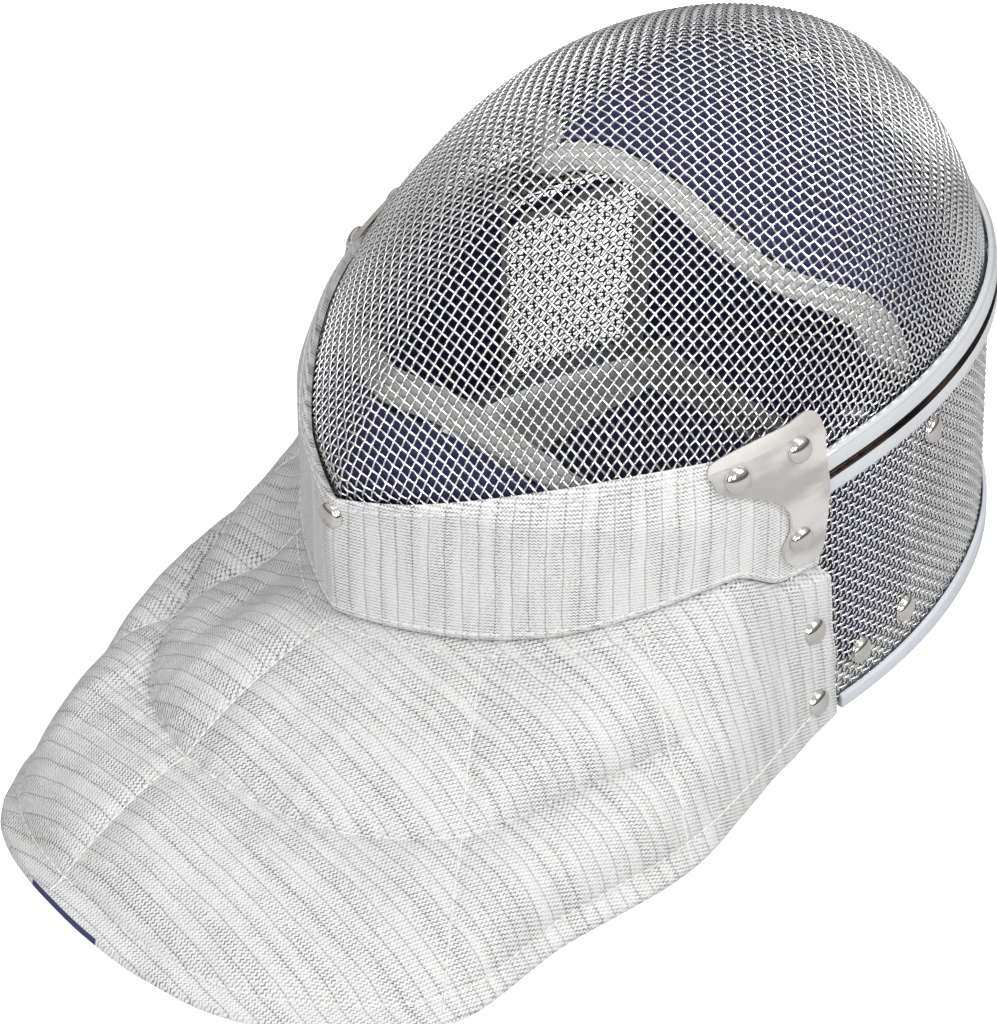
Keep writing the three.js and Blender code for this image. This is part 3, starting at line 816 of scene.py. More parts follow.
@dataclass(frozen=True)
class FloorFinish(Finish):
    """Pale floor that glows white to the camera alone, a painted light that hides the mask's cast shadow,
    except under the mask's opening; reflections see it a darker grey.
    """

    seen: Colour = (0.92, 0.92, 0.92, 1.0)
    reflected: Colour = (0.5, 0.5, 0.5, 1.0)
    glow: float = 0.75
    middle: Point = (-0.009, 0.075, 0.0)
    reach: Point = (0.1, 0.13, 1.0)
    fade: Pair = (0.85, 1.05)
    grain_scale: float = 300.0
    rough: Pair = (0.6, 0.75)

    def material(self) -> Material:
        """Build the material."""
        material, tree, shader, place = self.start()
        seen = tree.node("ShaderNodeLightPath").outputs["Is Camera Ray"]
        # painted light: the camera sees the floor pale, reflections see it grey
        tree.feed(shader.inputs["Base Color"], tree.mix(seen, self.reflected, self.seen))
        offset = tree.node("ShaderNodeVectorMath", operation="SUBTRACT")
        tree.feed(offset.inputs[0], place)
        offset.inputs[1].default_value = self.middle
        share = tree.node("ShaderNodeVectorMath", operation="DIVIDE")
        tree.feed(share.inputs[0], offset.outputs[0])
        share.inputs[1].default_value = self.reach
        far = tree.node("ShaderNodeVectorMath", operation="LENGTH")
        tree.feed(far.inputs[0], share.outputs[0])
        outside = tree.ramp(far.outputs["Value"], *self.fade, 0.0, self.glow)
        shader.inputs["Emission Color"].default_value = (1.0, 1.0, 1.0, 1.0)
        # painted light: the floor glows to the camera, but not under the opening
        tree.feed(shader.inputs["Emission Strength"], tree.math("MULTIPLY", outside, seen))
        grain = tree.noise(place, self.grain_scale)
        tree.feed(shader.inputs["Roughness"], tree.ramp(grain, *self.grain_range, *self.rough))
        return material


def grey(level: float) -> Colour:
    """A neutral colour."""
    return (level, level, level, 1.0)


class Look(Enum):
    """Every finish of the mask and of the floor."""

    # painted shade: the wire's sides that face in are painted near black
    WIRE = MetalFinish(
        "woven_steel_wire", grey(0.96), grey(0.86), (0.14, 0.25), 40.0, 1500.0, inner=grey(0.1)
    )
    BRIGHT = MetalFinish(
        "bright_plated_band",
        (0.84, 0.86, 0.88, 1),
        (0.78, 0.8, 0.83, 1),
        (0.08, 0.16),
        25.0,
        400.0,
        metallic=0.55,
    )
    # painted shade and reflection: the chrome groove's dark, brownish reflection put into its colour
    PAINTED_GROOVE = MetalFinish(
        "dark_band_groove", (0.075, 0.055, 0.045, 1), (0.01, 0.01, 0.01, 1), (0.15, 0.4), 30.0, 300.0
    )
    # painted reflections: light and dull patches, stretched up the plate, stand for smeared reflections
    PLATE = MetalFinish(
        "brushed_plate_steel",
        (0.86, 0.85, 0.83, 1),
        (0.56, 0.545, 0.52, 1),
        (0.28, 0.4),
        32.0,
        500.0,
        (1.0, 1.0, 2.5),
        metallic=0.72,
    )
    # painted shade: a duller, darker copy of the plate steel for the flange, which catches the light; its
    # matte is real, its darker colour is painted shade, and its patches are painted reflections
    FLANGE = MetalFinish(
        "dull_plate_flange",
        (0.62, 0.595, 0.565, 1),
        (0.48, 0.46, 0.435, 1),
        (0.4, 0.52),
        32.0,
        500.0,
        (1.0, 1.0, 2.5),
        metallic=0.6,
    )
    RIVET = MetalFinish(
        "nickel_rivet", (0.78, 0.76, 0.73, 1), (0.68, 0.66, 0.63, 1), (0.06, 0.13), 120.0, 600.0
    )
    BINDING = ClothFinish(
        "pale_edge_binding", (0.62, 0.65, 0.69, 1), (0.54, 0.57, 0.61, 1), 300.0, 0.00005, (0.3, 0.45), 0.0
    )
    KNIT = KnitFinish("silver_knit")
    # painted light: a lighter copy of the knit for the collar, which faces the front light
    LIT_COLLAR_KNIT = KnitFinish("silver_collar_knit", (0.78, 0.775, 0.775, 1), rib=5.4)
    # painted shade: a shaded copy of the navy lining for pads deep inside; its colour is now close to the lit
    # navy's
    SHADED_NAVY = ClothFinish("dark_navy_velour", (0.042, 0.039, 0.15, 1), (0.026, 0.024, 0.1, 1))
    NAVY = ClothFinish("navy_lining_cloth", (0.043, 0.04, 0.15, 1), (0.026, 0.024, 0.095, 1))
    TRIM = ClothFinish("grey_trim_tape", (0.56, 0.56, 0.55, 1), (0.46, 0.46, 0.45, 1))
    PALE_TRIM = ClothFinish("pale_trim_tape", (0.8, 0.8, 0.79, 1), (0.7, 0.7, 0.69, 1))
    THREAD = ClothFinish("white_thread", (0.8, 0.8, 0.79, 1), (0.7, 0.7, 0.69, 1), 1500.0)
    FLOOR = FloorFinish("pale_floor_painted_glow")

    @property
    def material(self) -> Material:
        """The finish's material, built when it is first asked for."""
        return bpy.data.materials.get(self.value.name) or self.value.material()


def deselect() -> None:
    """Leave nothing selected, in object mode."""
    if bpy.context.object and bpy.context.object.mode != "OBJECT":
        bpy.ops.object.mode_set(mode="OBJECT")
    bpy.ops.object.select_all(action="DESELECT")


def activate(piece: Piece) -> None:
    """Make a piece the only one selected, and the active one."""
    deselect()
    piece.select_set(True)
    bpy.context.view_layer.objects.active = piece


@contextmanager
def editing(piece: Piece) -> Iterator[None]:
    """Work on all of a piece in edit mode."""
    activate(piece)
    bpy.ops.object.mode_set(mode="EDIT")
    bpy.ops.mesh.select_all(action="SELECT")
    yield
    bpy.ops.object.mode_set(mode="OBJECT")


def apply_modifier(piece: Piece, kind: str, **settings: object) -> None:
    """Add a modifier and apply it.

    Args:
        piece: The piece that it shapes.
        kind: Blender's modifier type.
        settings: Properties of the modifier.
    """
    activate(piece)
    made = piece.modifiers.new(kind.lower(), kind)
    for name, value in settings.items():
        setattr(made, name, value)
    bpy.ops.object.modifier_apply(modifier=made.name)


def thicken(piece: Piece, thickness: float, inner: int = 0) -> None:
    """Give a sheet its thickness inwards, its inner face in a finish further on in its list."""
    apply_modifier(piece, "SOLIDIFY", thickness=thickness * MM, offset=-1.0, material_offset=inner)


def bevel(piece: Piece, width: float, segments: int, degrees: float) -> None:
    """Round the edges of a piece where its faces meet at more than an angle."""
    limits = {"limit_method": "ANGLE", "angle_limit": math.radians(degrees)}
    apply_modifier(piece, "BEVEL", width=width * MM, segments=segments, **limits)


def points_of(piece: Piece) -> Array:
    """A piece's vertices, one row each."""
    flat = np.zeros(len(piece.data.vertices) * 3)
    piece.data.vertices.foreach_get("co", flat)
    return flat.reshape(-1, 3)


def read_faces(piece: Piece, what: str) -> Array:
    """The centres or normals of a piece's faces, one row each."""
    flat = np.zeros(len(piece.data.polygons) * 3)
    piece.data.polygons.foreach_get(what, flat)
    return flat.reshape(-1, 3)


def dress(piece: Piece, *looks: Look) -> None:
    """Give a piece its finishes, in order."""
    piece.data.materials.clear()
    for look in looks:
        piece.data.materials.append(look.material)


def refinish(piece: Piece, chosen: Flags) -> None:
    """Give the chosen faces of a piece its second finish."""
    index = np.zeros(len(chosen), np.int32)
    piece.data.polygons.foreach_get("material_index", index)
    piece.data.polygons.foreach_set("material_index", np.where(chosen, 1, index).astype(np.int32))


def enrol(piece: Piece, slot: Slot, *nodes: str) -> None:
    """Tie a finished piece to the frame and report it.

    Args:
        piece: The piece.
        slot: The record's slot of its finish; not used.
        nodes: Solids that it stands for.
    """
    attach(piece, "root")
    if nodes:
        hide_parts(*nodes)
    piece.data.calc_loop_triangles()
    LOG.info("%s: %d triangles", piece.name, len(piece.data.loop_triangles))


def drape(name: str, columns: int, rows: int, surface: Surface, weave: Weave | None = None) -> Piece:
    """A grid primitive laid over a surface.

    Args:
        name: The piece's name.
        columns: Cells along the surface's first parameter.
        rows: Cells along the second.
        surface: Points in millimetres for two parameters from 0 to 1.
        weave: Map of the cloth in millimetres, from the parameters and the points.

    Returns:
        The open sheet.
    """
    deselect()
    bpy.ops.mesh.primitive_grid_add(x_subdivisions=columns, y_subdivisions=rows, size=2.0, location=(0, 0, 0))
    piece = bpy.context.object
    piece.name = name
    piece.data.name = name
    flat = points_of(piece)
    u, v = (flat[:, 0] + 1) / 2, (flat[:, 1] + 1) / 2
    points = surface(u, v)
    piece.data.vertices.foreach_set("co", framed(points).astype(np.float32).ravel())
    if weave is not None:
        first, second = weave(u, v, points)
        corner = np.zeros(len(piece.data.loops), int)
        piece.data.loops.foreach_get("vertex_index", corner)
        for layer in list(piece.data.uv_layers):
            piece.data.uv_layers.remove(layer)
        made = piece.data.uv_layers.new(name=WEAVE)
        made.data.foreach_set("uv", xyz(first, second)[corner].astype(np.float32).ravel())
    piece.data.update()
    return piece


def turn_outward(piece: Piece, inside: Array) -> None:
    """Flip an open sheet whose faces look towards an inner point.

    Args:
        piece: The sheet.
        inside: A point behind it, in millimetres about the cheek axis.
    """
    away = read_faces(piece, "center") - framed(inside)
    if np.sum(read_faces(piece, "normal") * away) < 0:
        with editing(piece):
            bpy.ops.mesh.flip_normals()


def close_bar(piece: Piece) -> None:
    """Close a draped bar: merge the seam along it, fill its two ends and turn its faces outward."""
    with editing(piece):
        bpy.ops.mesh.remove_doubles(threshold=MERGE_DISTANCE)
        bpy.ops.mesh.select_all(action="SELECT")
        bpy.ops.mesh.fill_holes(sides=0)
        bpy.ops.mesh.select_all(action="SELECT")
        bpy.ops.mesh.normals_make_consistent(inside=False)


def smooth(piece: Piece, degrees: float | None = None) -> None:
    """Shade a piece smooth, all over or up to an angle between faces."""
    activate(piece)
    if degrees is None:
        bpy.ops.object.shade_smooth()
    else:
        bpy.ops.object.shade_smooth_by_angle(angle=math.radians(degrees))


@dataclass
class Strands:
    """Round strands collected run by run and joined into one mesh."""

    radius: float
    sides: int = 4
    points: list[Array] = field(default_factory=list)
    quads: list[Array] = field(default_factory=list)
    ends: list[list[int]] = field(default_factory=list)
    count: int = 0

    def add(self, path: Array, normal: Array) -> None:
        """Add one strand.

        Args:
            path: Its centreline in millimetres.
            normal: A direction square to it at each point, which one edge of it faces.
        """
        tangent = unit(np.gradient(path, axis=0))
        side = unit(np.cross(tangent, normal))
        up = np.cross(side, tangent)
        turns = 2 * np.pi * np.arange(self.sides) / self.sides
        ring = np.cos(turns)[None, :, None] * up[:, None, :] + np.sin(turns)[None, :, None] * side[:, None, :]
        self.points.append((path[:, None, :] + self.radius * ring).reshape(-1, 3))
        steps = np.arange(len(path) - 1)[:, None] * self.sides
        here = np.arange(self.sides)[None, :]
        after = (here + 1) % self.sides
        following = steps + self.sides
        quads = np.stack([steps + here, steps + after, following + after, following + here], axis=-1)
        self.quads.append(quads.reshape(-1, 4) + self.count)
        last = self.count + (len(path) - 1) * self.sides
        self.ends.append([self.count + k for k in range(self.sides)][::-1])
        self.ends.append([last + k for k in range(self.sides)])
        self.count += len(path) * self.sides

    def piece(self, name: str) -> Piece:
        """Join the strands into a smooth mesh object with its faces outward.

        Args:
            name: The piece's name.

        Returns:
            The new object.
        """
        mesh = bpy.data.meshes.new(name)
        vertices = framed(np.concatenate(self.points))
        faces = [*np.concatenate(self.quads).tolist(), *self.ends]
        mesh.from_pydata(vertices.tolist(), [], faces)
        mesh.update()
        # outward lets the wire finish paint shade on the sides that face in
        outward = np.cos(2 * np.pi * np.arange(self.sides) / self.sides)
        facing = mesh.attributes.new(OUTWARD, "FLOAT", "POINT")
        facing.data.foreach_set("value", np.tile(outward, self.count // self.sides))
        made = bpy.data.objects.new(name, mesh)
        bpy.context.scene.collection.objects.link(made)
        smooth(made)
        return made


def runs_of(present: Flags) -> list[tuple[int, int]]:
    """First and past-the-last places of each run of at least two that are present."""
    padded = np.concatenate([[False], present, [False]]).astype(int)
    edges = np.flatnonzero(np.diff(padded))
    return [(a, b) for a, b in zip(edges[::2], edges[1::2]) if b - a > 1]


@dataclass
class Weaver:
    """Plain weave of wires through the knots of a net on a surface."""

    wire_radius: float = 0.5
    crimp: float = 0.5
    depth: float = 1.0

    def strand(self, strands: Strands, knots: Array, normals: Array, over: Array) -> None:
        """Add one wire that passes over and under at its knots.

        Args:
            strands: Collector of the wires.
            knots: Places on the surface where it crosses another wire.
            normals: Outward normals there.
            over: 1 where it passes over, -1 where it passes under.
        """
        count = 2 * len(knots) - 1
        path, normal = np.zeros((count, 3)), np.zeros((count, 3))
        path[::2] = knots + normals * (over * self.crimp - self.depth)[:, None]
        normal[::2] = normals
        normal[1::2] = unit(normals[:-1] + normals[1:])
        middle = (knots[:-1] + knots[1:]) / 2
        path[1::2] = middle - normal[1::2] * self.depth
        strands.add(path, normal)

    def weave(self, knots: Array, normals: Array, along_rows: bool, lines: Sequence[int]) -> Strands:
        """Wires of one direction.

        Args:
            knots: Net of places, row by column, not a number where there are none.
            normals: Outward normals there.
            along_rows: Whether the wires run along the rows or along the columns.
            lines: Rows or columns that get a wire.

        Returns:
            The wires.
        """
        strands = Strands(self.wire_radius)
        net = knots if along_rows else knots.transpose(1, 0, 2)
        out = normals if along_rows else normals.transpose(1, 0, 2)
        first = 1.0 if along_rows else -1.0
        for line in lines:
            for start, stop in runs_of(~np.isnan(net[line, :, 0])):
                over = first * (-1.0) ** (line + np.arange(start, stop))
                self.strand(strands, net[line, start:stop], out[line, start:stop], over)
        return strands


@dataclass
class FaceMesh:
    """Woven face: wires of a fixed pitch laid out from the ridge, sheared to follow the dome."""

    form: MaskForm
    pitch: float = 3.1
    start_angle: float = 72.0
    lowest_angle: float = -8.0
    highest_angle: float = 187.0
    skirt_bottom: float = 76.0
    rear_drop: float = 0.03
    past_cheek: float = 70.0
    samples: int = 4000
    newton_steps: int = 16
    longest_step: float = 1.2
    nearest: float = 0.9
    probe: float = 0.01
    first_beyond: float = 0.1
    damping: float = 1e-9
    knot_miss: float = 0.05
    dome_miss: float = 1e-3
    weaver: Weaver = field(default_factory=Weaver)

    def evenly(self, path: Array) -> Array:
        """Points one pitch apart along a line of close points."""
        length = lengths_along(path)
        return read_along(path, length, np.arange(0.0, length[-1], self.pitch))

    def ridge(self, last: float) -> Array:
        """Knots on the ridge, from the start angle to the last one."""
        angle = np.linspace(self.start_angle, last, self.samples)
        return self.evenly(self.form.dome(angle, np.zeros(self.samples)))

    def crossing(self) -> Array:
        """Knots on the first wire across the ridge, which runs on past the cheek."""
        lean = np.linspace(0.0, math.pi / 2, self.samples)
        over = self.form.dome(np.full(self.samples, self.start_angle), lean)
        beyond = np.linspace(self.first_beyond, self.past_cheek, self.samples)
        turn = math.radians(self.start_angle)
        y, z = beyond * math.cos(turn), self.form.rim_height - beyond * math.sin(turn)
        under = xyz(self.form.wall_width(y, z), y, z)
        return self.evenly(np.concatenate([over, under]))

    def slope(self, points: Array) -> Array:
        """Slope of the dome's equation at points."""
        columns = []
        for axis in range(3):
            step = np.zeros(3)
            step[axis] = self.probe
            columns.append(self.form.level(points + step) - self.form.level(points - step))
        return xyz(*columns) / (2 * self.probe)

    def knots_beside(self, guess: Array, one: Array, other: Array) -> Array:
        """Places on the dome one pitch away from two knots each.

        Args:
            guess: First guess of the places.
            one: One knot for each place.
            other: The other knot.

        Returns:
            The places, not a number where there is none.
        """
        place = guess.copy()
        for _ in range(self.newton_steps):
            miss = self.misses(place, one, other)
            table = np.stack([2 * (place - one), 2 * (place - other), self.slope(place)], axis=1)
            table += np.eye(3) * self.damping
            step = np.linalg.solve(table, miss[..., None])[..., 0]
            long = np.linalg.norm(step, axis=-1, keepdims=True)
            place = place - step / np.maximum(long / self.longest_step, 1.0)
        miss = np.abs(self.misses(place, one, other))
        lost = (miss[:, 0] > self.knot_miss) | (miss[:, 1] > self.knot_miss) | (miss[:, 2] > self.dome_miss)
        return np.where(lost[:, None], np.nan, place)

    def misses(self, place: Array, one: Array, other: Array) -> Array:
        """How far places are from one pitch away from two knots each, and from the dome."""
        first = np.sum((place - one) ** 2, axis=-1) - self.pitch**2
        second = np.sum((place - other) ** 2, axis=-1) - self.pitch**2
        return xyz(first, second, self.form.level(place))

    def quarter(self, ridge: Array, crossing: Array) -> Array:
        """Net over one quarter of the dome, filled diagonal by diagonal.

        Args:
            ridge: Knots along the ridge.
            crossing: Knots across it.

        Returns:
            Knots, ridge steps by crossing steps.
        """
        net = np.full((len(ridge), len(crossing), 3), np.nan)
        net[:, 0] = ridge
        net[0] = crossing
        for diagonal in range(2, len(ridge) + len(crossing) - 1):
            k = np.arange(max(1, diagonal - len(crossing) + 1), min(diagonal - 1, len(ridge) - 1) + 1)
            j = diagonal - k
            known = ~np.isnan(net[k - 1, j, 0]) & ~np.isnan(net[k, j - 1, 0])
            k, j = k[known], j[known]
            if not len(k):
                continue
            one, other, back = net[k, j - 1], net[k - 1, j], net[k - 1, j - 1]
            place = self.knots_beside(one + other - back, one, other)
            folded = np.linalg.norm(place - back, axis=-1) < self.nearest
            net[k, j] = np.where(folded[:, None], np.nan, place)
        return net

    def net(self) -> tuple[Array, Array]:
        """The whole net.

        Returns:
            Knots and outward normals, row by column: rows cross the ridge, columns run along it.
        """
        crossing = self.crossing()
        upper = self.quarter(self.ridge(self.highest_angle), crossing)
        lower = self.quarter(self.ridge(self.lowest_angle), crossing)
        half = np.concatenate([lower[:0:-1], upper])
        knots = np.concatenate([half[:, :0:-1] * np.array([-1.0, 1.0, 1.0]), half], axis=1)
        behind = self.form.rim_height - self.rear_drop * knots[..., 1]
        lowest = np.where(knots[..., 1] < 0, self.skirt_bottom, behind)
        knots[~(knots[..., 2] > lowest)] = np.nan
        return knots, unit(self.slope(knots))

    def build(self) -> None:
        """Weave the face and dress it, two pieces for each direction of wire."""
        knots, normals = self.net()
        rows, columns = knots.shape[:2]
        parts = {
            "face_wires_across_chin": (True, range(rows // 2)),
            "face_wires_across_crown": (True, range(rows // 2, rows)),
            "face_wires_along_right": (False, range(columns // 2)),
            "face_wires_along_left": (False, range(columns // 2, columns)),
        }
        for name, (along_rows, lines) in parts.items():
            piece = self.weaver.weave(knots, normals, along_rows, lines).piece(name)
            dress(piece, Look.WIRE)
            enrol(piece, Slot.WIRE, "front_mesh")


@dataclass
class SideStrip:
    """Woven strip round the head, its wires level and upright."""

    form: MaskForm
    column_pitch: float = 3.0
    row_pitch: float = 2.6
    top: float = 0.012
    bottom: float = 0.965
    tongue_top: float = 0.04
    corner: float = 89.4
    tongue: float = 97.0
    samples: int = 4000
    weaver: Weaver = field(default_factory=lambda: Weaver(wire_radius=0.48, crimp=0.6))

    def build(self) -> None:
        """Weave the strip and dress it, level wires first and then the upright ones."""
        sweep = np.linspace(-self.tongue, self.tongue, self.samples)
        length = lengths_along(self.form.strip(sweep, np.full(self.samples, 0.5)))
        columns = np.interp(np.arange(0.0, length[-1], self.column_pitch), length, sweep)
        count = round((self.bottom - self.top) * self.form.rim_height / self.row_pitch)
        rows = np.linspace(self.top, self.bottom, count)
        down, side = np.meshgrid(rows, columns, indexing="ij")
        knots = self.form.strip(side, down)
        normals = self.form.strip_normal(side, down)
        knots[(np.abs(side) > self.corner) & (down < self.tongue_top)] = np.nan
        for name, along_rows, count in (
            ("strip_wires_level", True, len(rows)),
            ("strip_wires_upright", False, len(columns)),
        ):
            piece = self.weaver.weave(knots, normals, along_rows, range(count)).piece(name)
            dress(piece, Look.WIRE)
            enrol(piece, Slot.WIRE, "side_mesh")


@dataclass
class StripBar:
    """A bar that runs round the strip with a constant section."""

    form: MaskForm
    stations: int = 170
    step: float = 0.5
    bevel_segments: int = 3
    bevel_angle: float = 25.0

    def level(self, sweep: Array, down: Array) -> Array:
        """Level unit direction out of the strip."""
        along = self.form.strip(sweep + self.step, down) - self.form.strip(sweep - self.step, down)
        out = unit(xyz(along[..., 1], -along[..., 0], np.zeros(np.shape(sweep))))
        sign = np.sign(out[..., 1] + np.sign(sweep) * out[..., 0])
        return out * sign[..., None]

    def section_at(self, section: Sequence[Pair], u: Array) -> Array:
        """Distances out and up of a section's points, at shares of the way round it from the first one."""
        table = np.array([*section, section[0]], float)
        return table[np.round(u * len(section)).astype(int)].T


@dataclass
class SeamBand(StripBar):
    """Bright band over the joint between the face and the strip: two flat beads and a groove whose floor is
    painted dark for its shade and reflection.
    """

    gap: float = 0.9
    half_height: float = 8.9
    lifts: Pair = (5.0, 7.4)
    lift_sweeps: Pair = (92.0, 66.0)
    foot: float = 2.5
    face: float = 3.6
    bead: float = 8.0
    groove_top: float = 1.7
    groove_floor: float = 1.2
    painted_groove: float = 1.8
    end_sweep: float = 92.4
    deepest: float = 12.0
    halvings: int = 24
    bevel_width: float = 0.45
    smooth_angle: float = 35.0
    groove_samples: int = 721
    floor_out: float = 1.3

    def section(self) -> list[Pair]:
        """The section, counter-clockwise from its lower back corner."""
        lower = [
            (self.gap, -self.half_height),
            (self.foot, -self.half_height),
            (self.face, -self.bead),
            (self.face, -self.groove_top),
            (self.painted_groove, -self.groove_floor),
        ]
        upper = [(out, -up) for out, up in reversed(lower)]
        return [*lower, *upper]

    def surface(self, u: Array, v: Array) -> Array:
        """Points of the bar for shares round its section and along its run."""
        out, up = self.section_at(self.section(), u)
        sweep = (2 * v - 1) * self.end_sweep
        base, level = self.foot_line(sweep)
        base[:, 2] += up
        return base + level * (out - self.lean(base, level))[:, None]

    def foot_line(self, sweep: Array) -> tuple[Array, Array]:
        """The band's middle line on the strip's upper edge, raised, and the level directions out of it."""
        top = np.zeros(np.shape(sweep))
        base = self.form.strip(sweep, top)
        first, last = self.lift_sweeps
        share = np.clip((first - np.abs(sweep)) / (first - last), 0.0, 1.0)
        base[:, 2] += self.lifts[0] + (self.lifts[1] - self.lifts[0]) * np.sqrt(share)
        return base, self.level(sweep, top)

    def lean(self, base: Array, level: Array) -> Array:
        """Distance from points over the strip's upper edge in to the dome.

        Args:
            base: The points.
            level: Level unit directions out of the strip.

        Returns:
            The distances, 0 where the points lie inside the dome.
        """
        near, far = np.zeros(len(base)), np.full(len(base), self.deepest)
        for _ in range(self.halvings):
            middle = (near + far) / 2
            is_outside = self.form.level(base - level * middle[:, None]) > 0
            near, far = np.where(is_outside, middle, near), np.where(is_outside, far, middle)
        return near

    def build(self) -> None:
        """Sweep the band, round its edges and dress it."""
        piece = drape("bright_band", len(self.section()), self.stations, self.surface)
        close_bar(piece)
        dress(piece, Look.BRIGHT, Look.PAINTED_GROOVE)
        # painted shade and reflection on the groove's floor
        self.darken_groove(piece)
        bevel(piece, self.bevel_width, self.bevel_segments, self.bevel_angle)
        smooth(piece, self.smooth_angle)
        enrol(piece, Slot.BRIGHT, "seam_band")

    def darken_groove(self, piece: Piece) -> None:
        """Give the groove's floor the dark finish that paints its shade and reflection, found by its depth
        from the beads.
        """
        base, level = self.foot_line(np.linspace(-self.end_sweep, self.end_sweep, self.groove_samples))
        line = framed(base - level * self.lean(base, level)[:, None])
        for face in piece.data.polygons:
            if len(face.vertices) != 4:
                continue
            nearest = line[np.argmin(np.sum((line - np.array(face.center)) ** 2, axis=1))]
            height = abs(face.center.z - nearest[2]) / MM
            out = math.dist(face.center[:2], nearest[:2]) / MM
            if height < self.groove_top and out > self.floor_out:
                face.material_index = 1


@dataclass
class EdgeBinding(StripBar):
    """Pale binding folded round the strip's lower edge."""

    height: float = 8.5
    wall: float = 1.6
    foot: float = 2.4
    lip: float = 1.0
    end_sweep: float = 89.4
    taper: float = 0.34
    taper_sweeps: Pair = (45.0, 86.0)
    bevel_width: float = 0.6
    smooth_angle: float = 40.0

    def section(self) -> list[Pair]:
        """The folded section."""
        slot = self.form.mesh_thickness + self.form.fit_gap
        gap = self.form.fit_gap
        return [
            (-slot - self.wall, 0.0),
            (gap + self.wall, 0.0),
            (gap + self.wall, self.height - self.lip),
            (gap, self.height),
            (gap, self.foot),
            (-slot, self.foot),
            (-slot, self.height),
            (-slot - self.wall, self.height - self.lip),
        ]

    def surface(self, u: Array, v: Array) -> Array:
        """Points of the bar for shares round its section and along its run."""
        out, up = self.section_at(self.section(), u)
        sweep = (2 * v - 1) * self.end_sweep
        up = up * (1.0 - self.taper * smoothstep(np.abs(sweep), *self.taper_sweeps))
        down = 1.0 - up / self.form.rim_height
        point = self.form.strip(sweep, down)
        point[:, 2] = up
        return point + self.level(sweep, down) * out[:, None]

    def build(self) -> None:
        """Fold the binding, round its edges and dress it."""
        piece = drape("edge_binding_tape", len(self.section()), self.stations, self.surface)
        close_bar(piece)
        bevel(piece, self.bevel_width, self.bevel_segments, self.bevel_angle)
        smooth(piece, self.smooth_angle)
        dress(piece, Look.BINDING)
        enrol(piece, Slot.BINDING, "edge_binding")


@dataclass
class Stitcher:
    """Rows of short thread stitches on a cloth."""

    length: float = 3.4
    gap: float = 0.3
    radius: float = 0.32
    arch: float = 0.25
    lift: float = 0.05
    sides: int = 5
    points_each: int = 4

    def sew(self, strands: Strands, cloth: Callable[..., Array], u: Array, v: Array) -> None:
        """Sew stitches along a line on a cloth.

        Args:
            strands: Collector of the stitches.
            cloth: Points of the cloth, for two places on it and a distance out.
            u: First places of close points along the line.
            v: Second places.
        """
        path = cloth(u, v, self.lift)
        out = unit(cloth(u, v, 1.0) - path)
        length = lengths_along(path)
        share = np.linspace(0.0, 1.0, self.points_each)
        rise = self.arch * np.sin(np.pi * share)
        for start in np.arange(0.0, length[-1] - self.length, self.length + self.gap):
            places = start + share * self.length
            normal = unit(read_along(out, length, places))
            strands.add(read_along(path, length, places) + normal * rise[:, None], normal)


@dataclass
class Collar:
    """Knit band over the lower face, with a stitch row along each edge."""

    form: MaskForm
    gap: float = 1.2
    thickness: float = 2.2
    end_turn: float = 87.0
    columns: int = 300
    rows: int = 44
    sag: float = 0.5
    edge_round: float = 1.2
    edge_share: float = 0.7
    ripples: tuple[Ripple, Ripple] = (Ripple(0.31, 0.0, 1.3), Ripple(0.11, 3.1, 0.0))
    ripple_share: float = 0.6
    smooth_angle: float = 60.0
    top_stitch: float = 3.4
    low_stitch: float = 3.0
    stitch_end: float = 86.0
    samples: int = 600
    stitch_samples: int = 500
    stitcher: Stitcher = field(default_factory=Stitcher)

    def outside(self, turn: Array, share: Array, lift: float = 0.0) -> Array:
        """Points of the outer face.

        Args:
            turn: Degrees round the face from the chin.
            share: Share of the way up.
            lift: Distance out from the face.

        Returns:
            Points in millimetres.
        """
        low, high = self.form.collar_bottom(turn), self.form.collar_top(turn)
        height = low + (high - low) * share
        soft = rounding(np.minimum(height - low, high - height), self.edge_round)
        ripple = self.ripples[0].at(turn, share) * self.ripples[1].at(turn, share)
        waist = np.sin(np.pi * share) * self.sag * (1.0 - self.ripple_share + self.ripple_share * ripple)
        out = self.gap + self.thickness + lift - soft * self.edge_share + waist
        return self.form.plan_point(turn, height, out)

    def surface(self, u: Array, v: Array) -> Array:
        """Points for shares round the face and up the band."""
        return self.outside((2 * u - 1) * self.end_turn, v)

    def weave(self, u: Array, v: Array, points: Array) -> tuple[Array, Array]:
        """Cloth map: up the ribs, then across them."""
        turn = np.linspace(-self.end_turn, self.end_turn, self.samples)
        length = lengths_along(self.outside(turn, np.full(self.samples, 0.5))[:, :2])
        return points[:, 2], np.interp((2 * u - 1) * self.end_turn, turn, length)

    def build(self) -> None:
        """Drape the collar, dress it and sew it."""
        piece = drape("lit_collar_knit", self.columns, self.rows, self.surface, self.weave)
        turn_outward(piece, self.form.heart)
        thicken(piece, self.thickness, 1)
        smooth(piece, self.smooth_angle)
        # painted light on the outer knit, from the lighter copy of the knit; the inner face takes the shaded
        # copy of the navy
        dress(piece, Look.LIT_COLLAR_KNIT, Look.SHADED_NAVY)
        enrol(piece, Slot.KNIT, "collar")
        stitches = self.stitches()

    def stitches(self) -> Piece:
        """Sew the stitch rows."""
        strands = Strands(self.stitcher.radius, self.stitcher.sides)
        turn = np.linspace(-self.stitch_end, self.stitch_end, self.stitch_samples)
        high, low = self.form.collar_top(turn), self.form.collar_bottom(turn)
        for share in (1.0 - self.top_stitch / (high - low), self.low_stitch / (high - low)):
            self.stitcher.sew(strands, self.outside, turn, share)
        piece = strands.piece("collar_stitches")
        dress(piece, Look.THREAD)
        enrol(piece, Slot.KNIT)
        return piece


